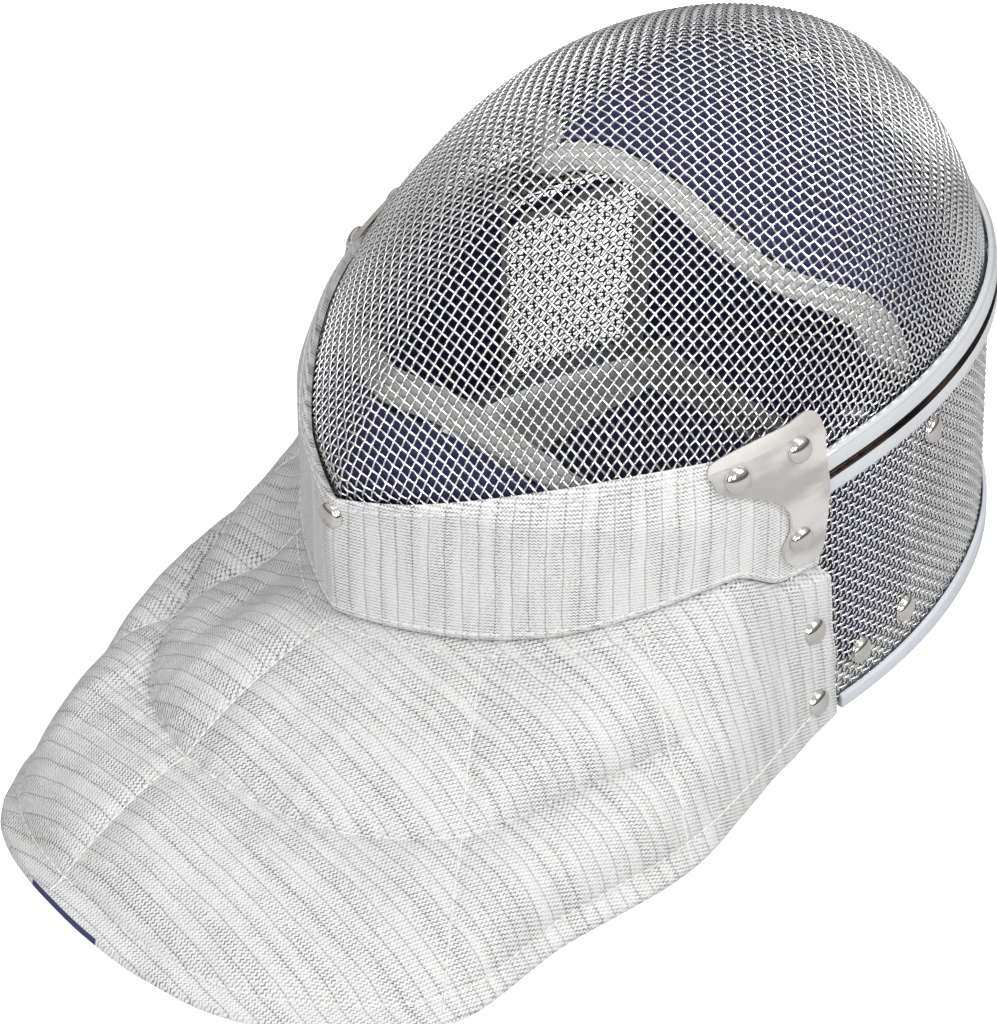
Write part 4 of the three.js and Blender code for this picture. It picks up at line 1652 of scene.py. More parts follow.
@dataclass
class Bib:
    """Padded knit bib: folds that puff between seams, a quilting line and a stitched hem, navy inside."""

    form: MaskForm
    thickness: float = 4.0
    quilt: float = 0.52
    quilt_end: float = 5.05
    puff: float = 7.6
    hang: float = 1.45
    seams: tuple[float, ...] = (0.0, 3.0, 5.0)
    seam_width: float = 0.24
    seam_pull: float = 0.45
    flat: Pair = (5.6, 6.7)
    end: float = 0.995
    columns: int = 380
    rows: int = 104
    hem_stitch: float = 9.0
    top_stitch: float = 5.0
    edge_round: float = 2.0
    wrinkle: float = 0.6
    draw_in: float = 7.0
    spread: float = 6.0
    ledge: float = 0.02
    ledge_drop: float = 0.5
    ledge_inset: float = 1.0
    lining_peek: Point = (-8.0, 24.0, -255.0)
    peek_steepness: float = 0.45
    quilt_power: float = 0.6
    plain_power: float = 0.8
    plain_share: float = 0.7
    quilt_fade: Pair = (-0.1, 0.3)
    hang_rise: Pair = (0.1, 0.3)
    hang_fall: Pair = (0.72, 0.95)
    draw_in_place: Pair = (0.2, 0.17)
    spread_place: Pair = (0.72, 0.18)
    broad: tuple[Ripple, Ripple] = (Ripple(2.9, 5.0, 0.7), Ripple(-1.9, 7.3, 1.1))
    fine: tuple[Ripple, Ripple] = (Ripple(9.7, -6.1, 0.0), Ripple(3.7, 13.0, 0.4))
    pucker: Ripple = Ripple(24.0, 0.0, 0.0)
    hem_wave: Ripple = Ripple(11.0, 0.0, 0.8)
    pucker_reach: float = 6.0
    hem_reach: float = 9.0
    fine_share: float = 0.45
    pucker_share: float = 0.5
    hem_share: float = 0.35
    rib_steepness: tuple[Pair, ...] = ((-260, 10), (-200, 22), (-100, 50), (0, 68))
    underneath: Point = (0.0, -120.0, -60.0)
    smooth_angle: float = 60.0
    seam_ends: Pair = (0.03, 0.985)
    seam_samples: int = 260
    hem_row_end: float = 0.985
    top_row_end: float = 0.74
    row_samples: int = 900
    stitcher: Stitcher = field(default_factory=Stitcher)

    def relief(self, across: Array, down: Array, length: Array) -> Array:
        """How far the padding stands out.

        Args:
            across: Place from the wearer's right rear edge at -1 to the left one at 1.
            down: Share of the way from the collar to the hem.
            length: Length of the fold.

        Returns:
            Distances out.
        """
        place = np.abs(across) * self.form.half_folds
        seam = np.max([np.exp(-np.abs(place - at) / self.seam_width) for at in self.seams], axis=0)
        first, last = self.top_stitch / length, 1.0 - self.hem_stitch / length
        upper = np.clip((down - first) / (self.quilt - first), 0.0, 1.0) ** self.hang
        lower = np.clip((down - self.quilt) / (last - self.quilt), 0.0, 1.0)
        quilted = np.sin(np.pi * np.where(down < self.quilt, upper, lower)) ** self.quilt_power
        plain = np.sin(np.pi * np.clip(down, 0, 1)) ** self.plain_power * self.plain_share
        share = smoothstep(place - self.quilt_end, *self.quilt_fade)
        swell = self.puff * (quilted * (1 - share) + plain * share)
        rear = 1.0 - smoothstep(place, *self.flat)
        padding = rear * swell * (1.0 - self.seam_pull * seam)
        return padding + self.slump(across, down) + self.wrinkles(across, down, length)

    def slump(self, across: Array, down: Array) -> Array:
        """How the right half hangs: drawn in under the collar and spread above the hem."""
        right = smoothstep(-across, *self.hang_rise) * (1.0 - smoothstep(-across, *self.hang_fall))
        places = (self.draw_in_place, self.spread_place)
        drawn_in, spread = (np.exp(-(((down - middle) / width) ** 2)) for middle, width in places)
        return right * (self.spread * spread - self.draw_in * drawn_in)

    def wrinkles(self, across: Array, down: Array, length: Array) -> Array:
        """Low soft folds and the pucker beside the quilting line."""
        place = across * self.form.half_folds
        broad, fine = (a.at(place, down) * b.at(place, down) for a, b in (self.broad, self.fine))
        from_quilt = np.abs(down - self.quilt) * length
        pucker = self.pucker.at(place, down) * np.exp(-from_quilt / self.pucker_reach)
        from_hem = np.maximum(1.0 - down, 0.0) * length
        hem = self.hem_wave.at(place, down) * np.exp(-from_hem / self.hem_reach)
        fade = np.sqrt(np.sin(np.pi * np.clip(down, 0.0, 1.0)))
        puckered = broad + self.fine_share * fine + self.pucker_share * pucker
        return self.wrinkle * (fade * puckered + self.hem_share * hem)

    def outside(self, across: Array, down: Array, lift: Array | float = 0.0) -> Array:
        """Points of the outer face.

        Args:
            across: Place from -1 to 1.
            down: Share of the way from the collar to the hem.
            lift: Distance out from the cloth.

        Returns:
            Points in millimetres.
        """
        top, hem, normal = self.form.bib_fold(across)
        length = np.linalg.norm(hem - top, axis=-1)
        soft = rounding(np.minimum(1.0 - down, 1.0) * length, self.edge_round)
        out = self.relief(across, down, length) + lift - soft
        return top + (hem - top) * np.asarray(down)[..., None] + normal * np.asarray(out)[..., None]

    def surface(self, u: Array, v: Array) -> Array:
        """Points for shares across the bib and down it, starting from a ledge under the collar."""
        across = (2 * u - 1) * self.end
        down = np.maximum(v - self.ledge, 0.0) / (1.0 - self.ledge)
        point = self.outside(across, down)
        turn = self.form.column("top_turn", (1.0 + across) * self.form.half_folds)
        under = self.form.plan_point(turn, self.form.collar_bottom(turn) - self.ledge_drop, self.ledge_inset)
        share = np.maximum(1.0 - v / self.ledge, 0.0)[..., None]
        return point * (1.0 - share) + under * share

    def weave(self, u: Array, v: Array, points: Array) -> tuple[Array, Array]:
        """Cloth map: along the ribs, which run across the wearer, then across them."""
        places, degrees = np.array(self.rib_steepness, float).T
        steep = np.radians(np.interp(points[:, 1], places, degrees))
        along = np.cos(steep) * np.abs(points[:, 0]) - np.sin(steep) * points[:, 2]
        return along, points[:, 1]

    def build(self) -> None:
        """Drape the bib, dress it and sew it."""
        piece = drape("bib_knit", self.columns, self.rows, self.surface, self.weave)
        turn_outward(piece, np.array(self.underneath))
        thicken(piece, self.thickness - self.edge_round, 1)
        smooth(piece, self.smooth_angle)
        dress(piece, Look.KNIT, Look.NAVY)
        self.bare_lining(piece)
        enrol(piece, Slot.KNIT, "bib")
        self.stitches()

    def bare_lining(self, piece: Piece) -> None:
        """Show the lining on the hem's edge where it rolls up at the front."""
        left, right, front = self.lining_peek
        x, y, _ = unframed(read_faces(piece, "center")).T
        is_steep = np.abs(read_faces(piece, "normal")[:, 2]) < self.peek_steepness
        refinish(piece, (x > left) & (x < right) & (y < front) & is_steep)

    def stitches(self) -> None:
        """Sew the seams, the quilting line, the hem and the line under the collar."""
        strands = Strands(self.stitcher.radius, self.stitcher.sides)
        last = self.form.half_folds
        down = np.linspace(*self.seam_ends, self.seam_samples)
        for seam in self.seams:
            for side in (1.0, -1.0) if seam else (1.0,):
                self.stitcher.sew(strands, self.outside, np.full(len(down), side * seam / last), down)
        for reach, share, offset in (
            (self.quilt_end / last, self.quilt, 0.0),
            (self.hem_row_end, 1.0, -self.hem_stitch),
            (self.top_row_end, 0.0, self.top_stitch),
        ):
            across = np.linspace(-reach, reach, self.row_samples)
            top, hem, _ = self.form.bib_fold(across)
            line = share + offset / np.linalg.norm(hem - top, axis=-1)
            self.stitcher.sew(strands, self.outside, across, line)
        piece = strands.piece("bib_stitches")
        dress(piece, Look.THREAD)
        enrol(piece, Slot.KNIT)


@dataclass
class CheekPlates:
    """Bent steel plates on the cheeks, their upper edge folded in towards the wire."""

    form: MaskForm
    stand_off: float = 4.0
    thickness: float = 1.5
    bend_corner: Pair = (-6.6, 123.2)
    bend_slope: float = 0.09
    flange_lean: float = 0.34
    fold_row: float = 0.2
    fold_limits: Pair = (0.02, 0.6)
    columns: int = 120
    rows: int = 30
    fold_angle: float = 15.0
    least_drop: float = 0.1
    bevel_width: float = 0.3
    bevel_segments: int = 2
    bevel_angle: float = 50.0
    stations: tuple[Station, ...] = (
        Station(-48.5, 119.5, -46.5, 112.5),
        Station(-45.5, 122.3, -42.5, 110),
        Station(-34, 124.7, -36, 107.5),
        Station(-19, 126.3, -29, 103.5),
        Station(-6.8, 126.5, -23.5, 98.5),
        Station(-5.4, 108, -20.8, 93),
        Station(-4.1, 96, -20.2, 86.5),
        Station(-5, 77, -23, 80),
        Station(-6.6, 71, -21.5, 75),
        Station(-11, 69.3, -17, 70.8),
    )

    def over_bend(self, y: Array, z: Array) -> Array:
        """Height of places in the side view over the line of the fold."""
        return z - self.bend_corner[1] - self.bend_slope * (y - self.bend_corner[0])

    def fold_across(self, outer: Sequence[Array], inner: Sequence[Array], v: Array) -> Array:
        """Shares across the plate, with one row of the grid laid along the fold.

        Args:
            outer: Side view places of the outer edge.
            inner: Side view places of the inner edge.
            v: Shares of the grid's rows.

        Returns:
            Shares of the way from the outer edge to the inner one.
        """
        above, below = self.over_bend(*outer), self.over_bend(*inner)
        fold = np.clip(above / np.maximum(above - below, self.least_drop), *self.fold_limits)
        under = fold + (1 - fold) * (v - self.fold_row) / (1 - self.fold_row)
        return np.where(v < self.fold_row, fold * v / self.fold_row, under)

    def edge(self, word: str, row: Array) -> list[Array]:
        """Side view places of the outer or the inner edge, at station numbers."""
        return [between([getattr(at, f"{word}_{axis}") for at in self.stations], row) for axis in "yz"]

    def surface(self, side: Side) -> Surface:
        """The plate's outer face on one side."""

        def place(u: Array, v: Array) -> Array:
            """Points for shares along the strip and across it."""
            row = u * (len(self.stations) - 1)
            outer, inner = self.edge("outer", row), self.edge("inner", row)
            across = self.fold_across(outer, inner, v)
            y, z = (a * (1 - across) + b * across for a, b in zip(outer, inner))
            bend = self.flange_lean * np.maximum(self.over_bend(y, z), 0.0)
            width = self.form.wall_width(y, z) + self.stand_off + self.thickness - bend
            return xyz(side.value * width, y, z)

        return place

    def build(self) -> None:
        """Shape both plates and dress them, duller above the fold, where a darker copy of the steel paints
        shade on the flange.
        """
        for side in Side:
            piece = drape(f"cheek_plate_{side.word}", self.columns, self.rows, self.surface(side))
            turn_outward(piece, self.form.heart)
            dress(piece, Look.PLATE, Look.FLANGE)
            _, y, z = unframed(read_faces(piece, "center")).T
            # painted shade on the flange above the fold
            refinish(piece, self.over_bend(y, z) > 0)
            thicken(piece, self.thickness)
            bevel(piece, self.bevel_width, self.bevel_segments, self.bevel_angle)
            smooth(piece, self.fold_angle)
            enrol(piece, Slot.PLATE, f"corner_plate_{side.word}")


@dataclass
class Rivets:
    """Domed rivets, modelled once and copied to each place."""

    form: MaskForm
    bib: Bib
    plates: CheekPlates
    collar: Collar
    radius: float = 4.6
    height: float = 2.2
    lift: float = 0.5
    sink: float = 0.9
    segments: int = 36
    rings: int = 20
    underside: float = -0.9
    smooth_angle: float = 50.0
    samples: int = 2000
    on_plate: tuple[RivetPlace, ...] = (
        RivetPlace("front", -39.6, 115.6),
        RivetPlace("corner", -16.3, 117.7),
        RivetPlace("low", -16.2, 81.7),
    )
    on_bib: tuple[RivetPlace, ...] = (RivetPlace("high", 0.962, 0.32), RivetPlace("low", 0.959, 0.79))
    on_strip: tuple[RivetPlace, ...] = (
        RivetPlace("high", 58.7, 82),
        RivetPlace("low", 39.5, 18.6),
        RivetPlace("front", 14.2, 16.8),
    )
    chin_height: float = 101.3
    chin_probe: float = 2.0
    wall_probe: float = 1.0
    share_probe: float = 0.01

    def model(self) -> Piece:
        """Model one rivet at the origin, standing along Z: half a flattened ball on a short foot."""
        deselect()
        bpy.ops.mesh.primitive_uv_sphere_add(
            segments=self.segments, ring_count=self.rings, radius=self.radius * MM, location=(0, 0, 0)
        )
        piece = bpy.context.object
        piece.name = "rivet_model"
        with editing(piece):
            bpy.ops.mesh.bisect(plane_co=(0, 0, 0), plane_no=(0, 0, 1), use_fill=True, clear_inner=True)
            bpy.ops.mesh.select_all(action="SELECT")
            bpy.ops.transform.resize(value=(1, 1, self.height / self.radius), center_override=(0, 0, 0))
        for face in piece.data.polygons:
            face.select = face.normal.z < self.underside
        bpy.ops.object.mode_set(mode="EDIT")
        bpy.ops.mesh.extrude_region_move(TRANSFORM_OT_translate={"value": (0, 0, -self.sink * MM)})
        bpy.ops.object.mode_set(mode="OBJECT")
        smooth(piece, self.smooth_angle)
        return piece

    def spots(self) -> dict[str, tuple[Array, Array]]:
        """Seat and outward direction of each rivet, by its node."""
        found: dict[str, tuple[Array, Array]] = {}
        for side in Side:
            sign = side.value

            def cheek(y: Array, z: Array, sign: int = sign) -> Array:
                """Points of the dome's side wall."""
                return xyz(sign * self.form.wall_width(y, z), y, z)

            def cloth(across: Array, down: Array, sign: int = sign) -> Array:
                """Points of the bib."""
                return self.bib.outside(sign * across, down)

            for name, y, z in self.on_plate:
                seat, out = self.seat(cheek, y, z, self.wall_probe)
                seat = seat + np.array([sign * (self.plates.stand_off + self.plates.thickness), 0, 0])
                found[f"plate_rivet_{name}_{side.word}"] = (seat, out)
            for name, across, down in self.on_bib:
                found[f"bib_rivet_{name}_{side.word}"] = self.seat(cloth, across, down, self.share_probe)
            for name, y, z in self.on_strip:
                down = 1.0 - z / self.form.rim_height
                sweep = np.linspace(0.0, 90.0, self.samples)
                ahead = self.form.strip(sign * sweep, np.full(self.samples, down))[:, 1]
                at = sign * float(np.interp(-y, -ahead, sweep))
                seat = self.seat(self.form.strip, at, down, self.share_probe)
                found[f"strip_rivet_{name}_{side.word}"] = seat
        found["chin_rivet"] = self.chin_seat()
        return found

    def seat(self, surface: Surface, u: float, v: float, step: float) -> tuple[Array, Array]:
        """Point and outward normal of a surface at one place."""
        first, second = np.array([u]), np.array([v])
        out = normals_of(surface, first, second, step, self.form.heart)
        return surface(first, second)[0], out[0]

    def chin_seat(self) -> tuple[Array, Array]:
        """Seat and direction of the rivet on the collar at the ridge."""
        offset = self.collar.gap + self.collar.thickness
        heights = self.chin_height + self.chin_probe * np.array([-1.0, 0.0, 1.0])
        low, seat, high = self.form.plan_point(np.zeros(3), heights, offset)
        slope = high - low
        return seat, unit(np.array([0.0, -slope[2], slope[1]]))

    def build(self) -> None:
        """Copy the rivet to each place and dress it."""
        model = self.model()
        for node, (seat, out) in self.spots().items():
            piece = model.copy()
            piece.data = model.data.copy()
            piece.name = f"{node}_dome"
            bpy.context.scene.collection.objects.link(piece)
            turn = Vector((0, 0, 1)).rotation_difference(Vector(out)).to_matrix().to_4x4()
            place = Matrix.Translation(Vector(framed(seat + out * self.lift)))
            piece.data.transform(place @ turn)
            dress(piece, Look.RIVET)
            enrol(piece, Slot.RIVET, node)
        bpy.data.objects.remove(model)


@dataclass
class Lining:
    """Navy pads and grey trims inside the wire and the strip, and the flaps in the opening."""

    form: MaskForm
    clearance: float = 1.1
    thickness: float = 8.0
    trim_width: float = 5.6
    trim_gap: float = 0.7
    trim_thickness: float = 9.0
    set_back: float = 13.0
    set_back_span: float = 36.0
    trim_side: float = 0.95
    trim_spread: float = 0.055
    trim_end: float = 166.0
    trim_curl: float = 1.2
    pad_curl: float = 1.0
    edge_powers: tuple[int, int] = (6, 24)
    brow_angle: float = 65.6
    brow_rise: float = 20.0
    cheek_rise: float = 85.0
    cheek_power: int = 10
    forehead_side: float = 0.9
    forehead_end: float = 160.0
    chin_side: float = 0.8
    chin_start: float = 2.0
    chin_angle: float = 26.0
    chin_fall: float = 35.0
    chin_flat: float = 0.15
    back_angle: float = 77.0
    back_rate: float = 108.0
    ear_front: float = -32.0
    ear_back: float = 27.0
    ear_top: float = 106.0
    ear_bottom: float = 24.0
    ear_clearance: float = 0.9
    curl: float = 2.0
    curl_power: int = 8
    end_curl_power: int = 16
    rear_sweep: float = 56.5
    rear_downs: Pair = (0.06, 0.86)
    rear_clearance: float = 0.8
    rear_tape_inset: float = 6.5
    rim_sweeps: Pair = (59.5, 88.0)
    rim_feet: Pair = (0.09, 0.9)
    rim_turn: Pair = (69.0, 73.0)
    far_rim_turn: Pair = (77.5, 82.0)
    rim_thickness: float = 3.0
    tape: float = 6.0
    tape_fold: float = 0.6
    pad_bevel: float = 1.2
    bevel_segments: int = 3
    bevel_angle: float = 50.0
    smooth_angle: float = 60.0
    samples: int = 200
    flap_half: float = 57.0
    flap_front: float = -55.0
    flap_back: float = 76.0
    flap_height: float = 9.0
    flap_crown: float = 5.0
    flap_fall: float = 3.0
    flap_corner: float = 0.03
    flap_powers: tuple[int, int, int] = (6, 8, 10)
    flap_thickness: float = 3.0
    rear_flap_edge: float = 84.0
    rear_flap_inset: float = 14.0
    rear_flap_least: float = 0.5
    shade_from: float = 0.35

    def forehead_edge(self, share: Array) -> Array:
        """Angle of the forehead trim's lower edge, at shares of the half width."""
        return self.brow_angle + self.brow_rise * np.sqrt(share) + self.cheek_rise * share**self.cheek_power

    def forehead_trim_top(self, share: Array) -> Array:
        """Angle of the forehead trim's upper edge, which bears away from the lower one towards the cheeks."""
        beside = share + self.trim_spread * share**2
        return np.minimum(self.forehead_edge(beside) + self.trim_width, self.trim_end)

    def chin_edge(self, share: Array) -> Array:
        """Angle of the chin trim's upper edge."""
        return self.chin_angle - self.chin_fall * np.maximum(0.0, share - self.chin_flat) ** 2

    def forehead_depth(self, angle: Array, share: Array) -> Array:
        """Depth of the forehead pad, which falls back from the wire towards the crown."""
        start = self.back_angle + self.back_rate * share
        t = np.clip((angle - start) / self.set_back_span, 0.0, 1.0)
        return self.clearance + self.set_back * t * t * (3.0 - 2.0 * t)

    def flush_depth(self, angle: Array, share: Array) -> Array:
        """Depth of a piece that lies against the wire all over."""
        return np.full(np.shape(angle), self.clearance)

    def towards_edges(self, first: Array, second: Array, first_power: int, second_power: int) -> Array:
        """Rise of a sheet's edges over its middle, by shares across it and the powers of the rise."""
        return np.abs(2 * first - 1) ** first_power + np.abs(2 * second - 1) ** second_power

    def sheet(
        self,
        half: float,
        low: Callable[[Array], Array],
        high: Callable[[Array], Array],
        depth: Callable[[Array, Array], Array],
        bulge: float,
    ) -> Surface:
        """Outer face of a piece of the lining.

        Args:
            half: Share of the half width that it reaches to.
            low: Angle of its lower edge by share.
            high: Angle of its upper edge.
            depth: Distance in from the wire.
            bulge: How far its edges curl in.

        Returns:
            The face as a surface of two shares, from side to side and from edge to edge.
        """

        def place(u: Array, v: Array) -> Array:
            """Points of the face."""
            share = (2 * u - 1) * half
            across = np.abs(share)
            angle = low(across) * (1 - v) + high(across) * v
            curl = bulge * self.towards_edges(v, u, *self.edge_powers)
            return self.form.lining(angle, share, depth(angle, across) + curl)

        return place

    def ear_sheet(self, side: Side) -> Surface:
        """Outer face of an ear pad, inside the dome's side wall."""

        def place(u: Array, v: Array) -> Array:
            """Points of the face, from the rear edge forward and from the top down."""
            y = self.ear_back * (1 - u) + self.ear_front * u
            z = self.ear_top * (1 - v) + self.ear_bottom * v
            curl = self.curl * self.towards_edges(u, v, self.curl_power, self.curl_power)
            inset = self.form.mesh_thickness + self.ear_clearance + curl
            return xyz(side.value * (self.form.wall_width(y, z) - inset), y, z)

        return place

    def strip_sheet(
        self,
        sweeps: Pair,
        top: float,
        foot: Callable[[Array], Array],
    ) -> Surface:
        """Outer face of a pad inside the strip.

        Args:
            sweeps: Degrees round the strip at its two ends.
            top: Share of the way down the strip at its top.
            foot: Share of the way down at its foot, by degrees round the strip.

        Returns:
            The face as a surface of two shares, along the strip and down it.
        """

        def place(u: Array, v: Array) -> Array:
            """Points of the face."""
            sweep = sweeps[0] * (1 - u) + sweeps[1] * u
            down = top * (1 - v) + foot(np.abs(sweep)) * v
            curl = self.curl * self.towards_edges(u, v, self.end_curl_power, self.curl_power)
            inset = self.form.mesh_thickness + self.rear_clearance + curl
            return self.form.strip(sweep, down) - self.form.strip_normal(sweep, down) * inset[:, None]

        return place

    def flap_sheet(self, u: Array, v: Array) -> Array:
        """Upper face of the loose flap inside the opening, from front to rear and from side to side."""
        side = 2 * v - 1
        corner_power, side_power, rear_power = self.flap_powers
        rear = 1.0 - self.flap_corner * np.abs(side) ** corner_power
        y = self.flap_front + (self.flap_back - self.flap_front) * u * rear
        edge = np.abs(side) ** side_power + u**rear_power
        crown = self.flap_crown * np.sin(np.pi * np.clip(u, 0, 1)) * (1 - side**2)
        z = self.flap_height + crown - self.flap_fall * np.minimum(edge, 1.0)
        return xyz(self.flap_half * side, y, z)

    def rear_flap_sheet(self, u: Array, v: Array) -> Array:
        """Upper face of the flap behind the head, from its straight front edge back to the strip."""
        sweep = (2 * u - 1) * self.rear_sweep
        down = np.full(np.shape(sweep), self.rear_downs[1])
        back = self.form.strip(sweep, down) - self.form.strip_normal(sweep, down) * self.rear_flap_inset
        front = back.copy()
        front[..., 1] = np.minimum(self.rear_flap_edge, back[..., 1] - self.rear_flap_least)
        front[..., 2] = self.flap_height
        return front * (1 - v)[..., None] + back * v[..., None]

    def tape_or_painted_shade(self, piece: Piece, is_tape_or_shade: Callable[[Array], Flags], look: Look) -> None:
        """Give another finish, a tape or the painted shade of the shaded navy, to the faces of a pad whose
        middles, in millimetres, are chosen.
        """
        piece.data.materials.append(look.material)
        refinish(piece, is_tape_or_shade(unframed(read_faces(piece, "center"))))

    def pad(
        self,
        name: str,
        size: tuple[int, int],
        surface: Surface,
        thickness: float,
        slot: Slot,
        has_solid: bool = True,
    ) -> Piece:
        """Drape, stuff and dress one piece of the lining.

        Args:
            name: The piece's name, also of its solid with an added word.
            size: Columns and rows of the grid.
            surface: Its outer face.
            thickness: How thick it is.
            slot: Slot of its finish.
            has_solid: Whether it takes the place of a solid.

        Returns:
            The piece.
        """
        piece = drape(f"{name}_cloth", *size, surface)
        turn_outward(piece, self.form.heart)
        thicken(piece, thickness)
        bevel(piece, self.pad_bevel, self.bevel_segments, self.bevel_angle)
        smooth(piece, self.smooth_angle)
        # painted shade: pads deep inside get the shaded copy of the navy
        navy = Look.NAVY if name.startswith(("forehead", "chin")) else Look.SHADED_NAVY
        dress(piece, navy if slot is Slot.LINING else Look.TRIM)
        enrol(piece, slot, *([name] if has_solid else []))
        return piece

    def build(self) -> None:
        """Build every pad and trim."""
        self.face_pads()
        for side in Side:
            surface = self.ear_sheet(side)
            piece = self.pad(f"ear_pad_{side.word}", (40, 40), surface, self.thickness, Slot.LINING)
            self.tape_or_painted_shade(piece, lambda at: at[:, 1] > self.ear_back - self.tape, Look.TRIM)
        top, foot = self.rear_downs
        sweeps = (-self.rear_sweep, self.rear_sweep)
        surface = self.strip_sheet(sweeps, top, lambda sweep: np.full(np.shape(sweep), foot))
        piece = self.pad("rear_pad", (120, 40), surface, self.thickness, Slot.LINING)
        self.tape_or_painted_shade(piece, self.is_rear_tape, Look.TRIM)
        self.extras()

    def face_pads(self) -> None:
        """Build the trims and pads behind the face's wire."""
        forehead, brim, chin = self.forehead_edge, self.forehead_trim_top, self.chin_edge
        flush = self.flush_depth
        gap = self.trim_width + self.trim_gap
        surface = self.sheet(self.trim_side, forehead, brim, flush, self.trim_curl)
        piece = self.pad("forehead_trim", (160, 12), surface, self.trim_thickness, Slot.TRIM)
        dress(piece, Look.PALE_TRIM)
        surface = self.sheet(
            self.forehead_side,
            lambda share: brim(share) + self.trim_gap,
            lambda share: np.full(share.shape, self.forehead_end),
            self.forehead_depth,
            self.pad_curl,
        )
        piece = self.pad("forehead_pad", (120, 60), surface, self.thickness, Slot.LINING)
        # painted shade on the part of the forehead pad that falls back from the wire
        self.tape_or_painted_shade(piece, self.is_set_back_in_shade, Look.SHADED_NAVY)
        surface = self.sheet(
            self.chin_side, lambda share: chin(share) - self.trim_width, chin, flush, self.trim_curl
        )
        self.pad("chin_trim", (90, 10), surface, self.trim_thickness, Slot.TRIM)
        surface = self.sheet(
            self.chin_side,
            lambda share: np.full(share.shape, self.chin_start),
            lambda share: chin(share) - gap,
            flush,
            self.pad_curl,
        )
        self.pad("chin_pad", (90, 26), surface, self.thickness, Slot.LINING)

    def is_set_back_in_shade(self, at: Array) -> Flags:
        """Which places on the forehead pad have fallen back from the wire, where the shaded copy of the navy
        paints shade on it.
        """
        angle = np.degrees(np.arctan2(at[:, 2] - self.form.rim_height, -at[:, 1]))
        share = np.abs(at[:, 0]) / (self.form.cheek_half_width - self.form.mesh_thickness - self.clearance)
        depth = self.forehead_depth(angle, share) - self.clearance
        return depth > self.shade_from * self.set_back

    def is_rear_tape(self, at: Array) -> Flags:
        """Which places on the pad behind the head lie on the tape round its ends."""
        end = self.form.strip(np.array([self.rear_sweep]), np.array([0.5]))[0, 1]
        return at[:, 1] < end - self.rear_tape_inset + self.tape

    def rim_foot(self, sweep: Array, side: Side) -> Array:
        """Share of the way down the strip that the rim's lining reaches, more over the ear."""
        low, high = self.rim_feet
        turn = self.rim_turn if side is Side.LEFT else self.far_rim_turn
        return low + (high - low) * smoothstep(sweep, *turn)

    def is_rim_tape(self, at: Array, side: Side) -> Flags:
        """Which places on the rim's lining lie on the tape along its free edge."""
        sweep = np.linspace(self.rim_sweeps[1], self.rim_sweeps[0], self.samples)
        foot = self.rim_foot(sweep, side)
        ahead = self.form.strip(sweep, np.full(len(sweep), 0.5))[:, 1]
        low = self.form.rim_height * (1 - foot)
        below = np.interp(at[:, 1], ahead, low) + self.tape * self.tape_fold
        beside = np.interp(at[:, 1] + self.tape, ahead, low)
        return (at[:, 2] < below) | (at[:, 2] < beside)

    def extras(self) -> None:
        """Build the lining along the strip's rim and the flaps, which the solids leave out."""
        for side in Side:
            sweeps = (side.value * self.rim_sweeps[0], side.value * self.rim_sweeps[1])
            face = self.strip_sheet(sweeps, 0.0, partial(self.rim_foot, side=side))
            name = f"rim_lining_{side.word}"
            piece = self.pad(name, (110, 40), face, self.rim_thickness, Slot.LINING, has_solid=False)
            self.tape_or_painted_shade(piece, partial(self.is_rim_tape, side=side), Look.TRIM)
        flap = partial(self.pad, thickness=self.flap_thickness, slot=Slot.LINING, has_solid=False)
        flap("neck_flap", (50, 50), self.flap_sheet)
        piece = flap("rear_flap", (80, 30), self.rear_flap_sheet)
        self.tape_or_painted_shade(piece, lambda at: at[:, 1] < self.rear_flap_edge + self.tape, Look.TRIM)


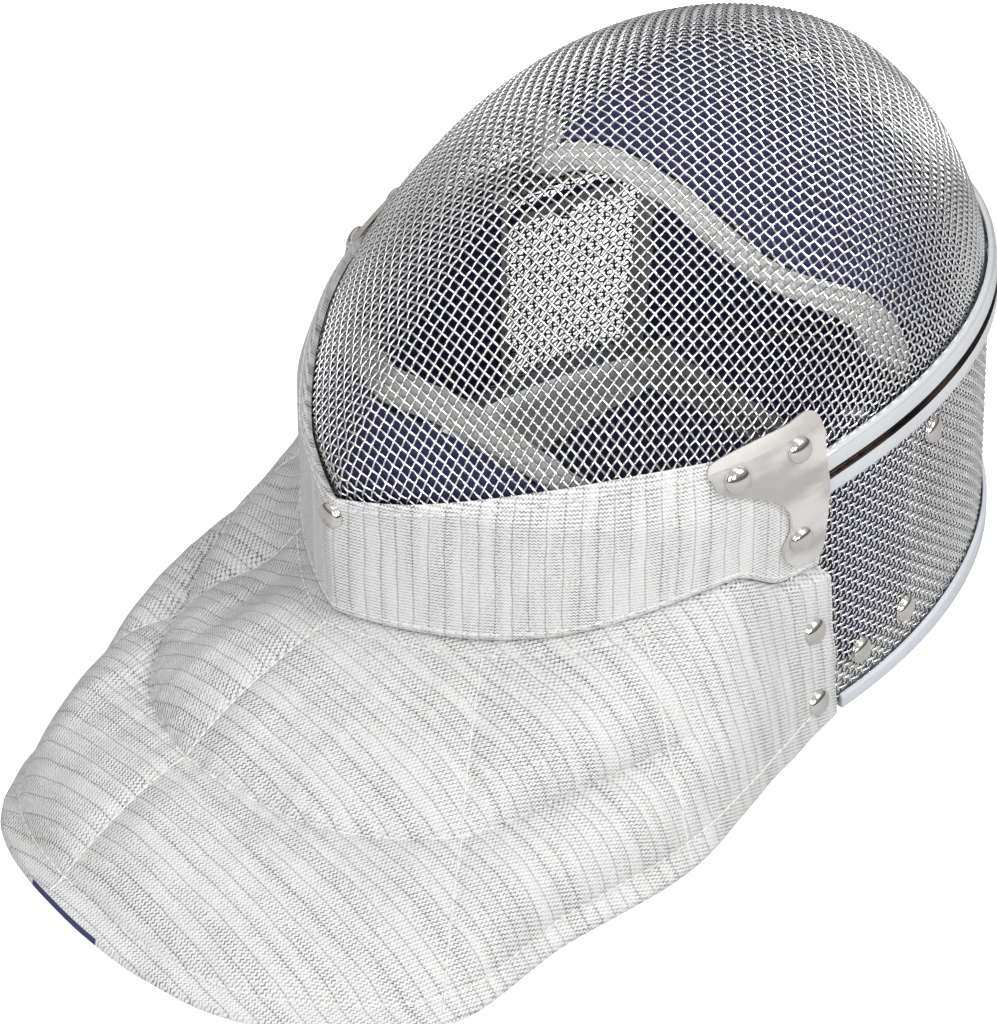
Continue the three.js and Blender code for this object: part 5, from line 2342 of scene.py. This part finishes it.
@dataclass
class Studio:
    """Pale floor, soft light and the camera."""

    azimuth: float = 46.01
    elevation: float = 39.97
    target: Point = (30.64, -88.28, 95.0)
    distance: float = 1400.0
    pixels_per_mm: float = 3.1012
    image_height: int = 1024
    sensor: float = 36.0
    floor_size: float = 12.0
    floor_cells: int = 8
    light_aim: Point = (0.0, 0.0, 0.08)
    clip: Pair = (0.01, 50.0)
    sky_rise: Pair = (0.0, 0.7)
    sky_light: Pair = (0.12, 0.66)
    boxes: tuple[SoftBox, ...] = (
        SoftBox("key_box", (1.2, 0.45, 1.35), 0.9, 16.0),
        SoftBox("front_box", (0.7, -1.6, 0.8), 0.9, 12.0),
        SoftBox("top_box", (0.0, 0.2, 2.0), 1.0, 5.0),
        SoftBox("camera_box", (1.7, -0.9, 0.9), 0.6, 8.0),
    )

    def build(self) -> None:
        """Build the floor, the lights and the camera."""
        self.floor()
        self.lights()
        self.camera()

    def floor(self) -> None:
        """Lay the floor."""
        deselect()
        cells = {"x_subdivisions": self.floor_cells, "y_subdivisions": self.floor_cells}
        bpy.ops.mesh.primitive_grid_add(**cells, size=self.floor_size, location=(0, 0, 0))
        piece = bpy.context.object
        piece.name = "studio_floor"
        dress(piece, Look.FLOOR)

    def lights(self) -> None:
        """Hang soft boxes round the mask under a sky that is bright above and dim at the horizon."""
        world = bpy.data.worlds.new("studio_light")
        bpy.context.scene.world = world
        world.use_nodes = True
        tree = Tree(world.node_tree)
        split = tree.node("ShaderNodeSeparateXYZ")
        tree.feed(split.inputs[0], tree.node("ShaderNodeTexCoord").outputs["Generated"])
        sky = world.node_tree.nodes["Background"]
        sky.inputs["Color"].default_value = (1.0, 1.0, 1.0, 1.0)
        tree.feed(sky.inputs["Strength"], tree.ramp(split.outputs["Z"], *self.sky_rise, *self.sky_light))
        for box in self.boxes:
            self.hang(box)

    def hang(self, box: SoftBox) -> None:
        """Hang one soft box, turned to the mask."""
        lamp = bpy.data.lights.new(box.name, "AREA")
        lamp.shape = "SQUARE"
        lamp.size = box.size
        lamp.energy = box.power
        holder = bpy.data.objects.new(box.name, lamp)
        bpy.context.scene.collection.objects.link(holder)
        holder.location = box.place
        aim = Vector(self.light_aim) - Vector(box.place)
        holder.rotation_euler = aim.to_track_quat("-Z", "Y").to_euler()

    def camera(self) -> None:
        """Set the camera at the photograph's viewing angle."""
        data = bpy.data.cameras.new("camera")
        holder = bpy.data.objects.new("camera", data)
        bpy.context.scene.collection.objects.link(holder)
        turn, rise = math.radians(self.azimuth), math.radians(self.elevation)
        back = np.array([math.sin(turn) * math.cos(rise), -math.cos(turn) * math.cos(rise), math.sin(rise)])
        holder.location = Vector(framed(np.array(self.target) + back * self.distance))
        holder.rotation_euler = Vector(-back).to_track_quat("-Z", "Y").to_euler()
        data.sensor_width = self.sensor
        data.lens = self.sensor * self.pixels_per_mm * self.distance / self.image_height
        data.clip_start, data.clip_end = self.clip
        bpy.context.scene.camera = holder
        bpy.context.scene.view_settings.view_transform = "Standard"


def main() -> None:
    """Build the mask piece by piece and set it in the studio."""
    logging.basicConfig(level=logging.INFO, format="%(name)s %(message)s")
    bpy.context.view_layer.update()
    form = MaskForm()
    FaceMesh(form).build()
    SideStrip(form).build()
    SeamBand(form).build()
    EdgeBinding(form).build()
    collar = Collar(form)
    collar.build()
    bib = Bib(form)
    bib.build()
    plates = CheekPlates(form)
    plates.build()
    Rivets(form, bib, plates, collar).build()
    Lining(form).build()
    Studio().build()


if __name__ == "__main__":
    main()
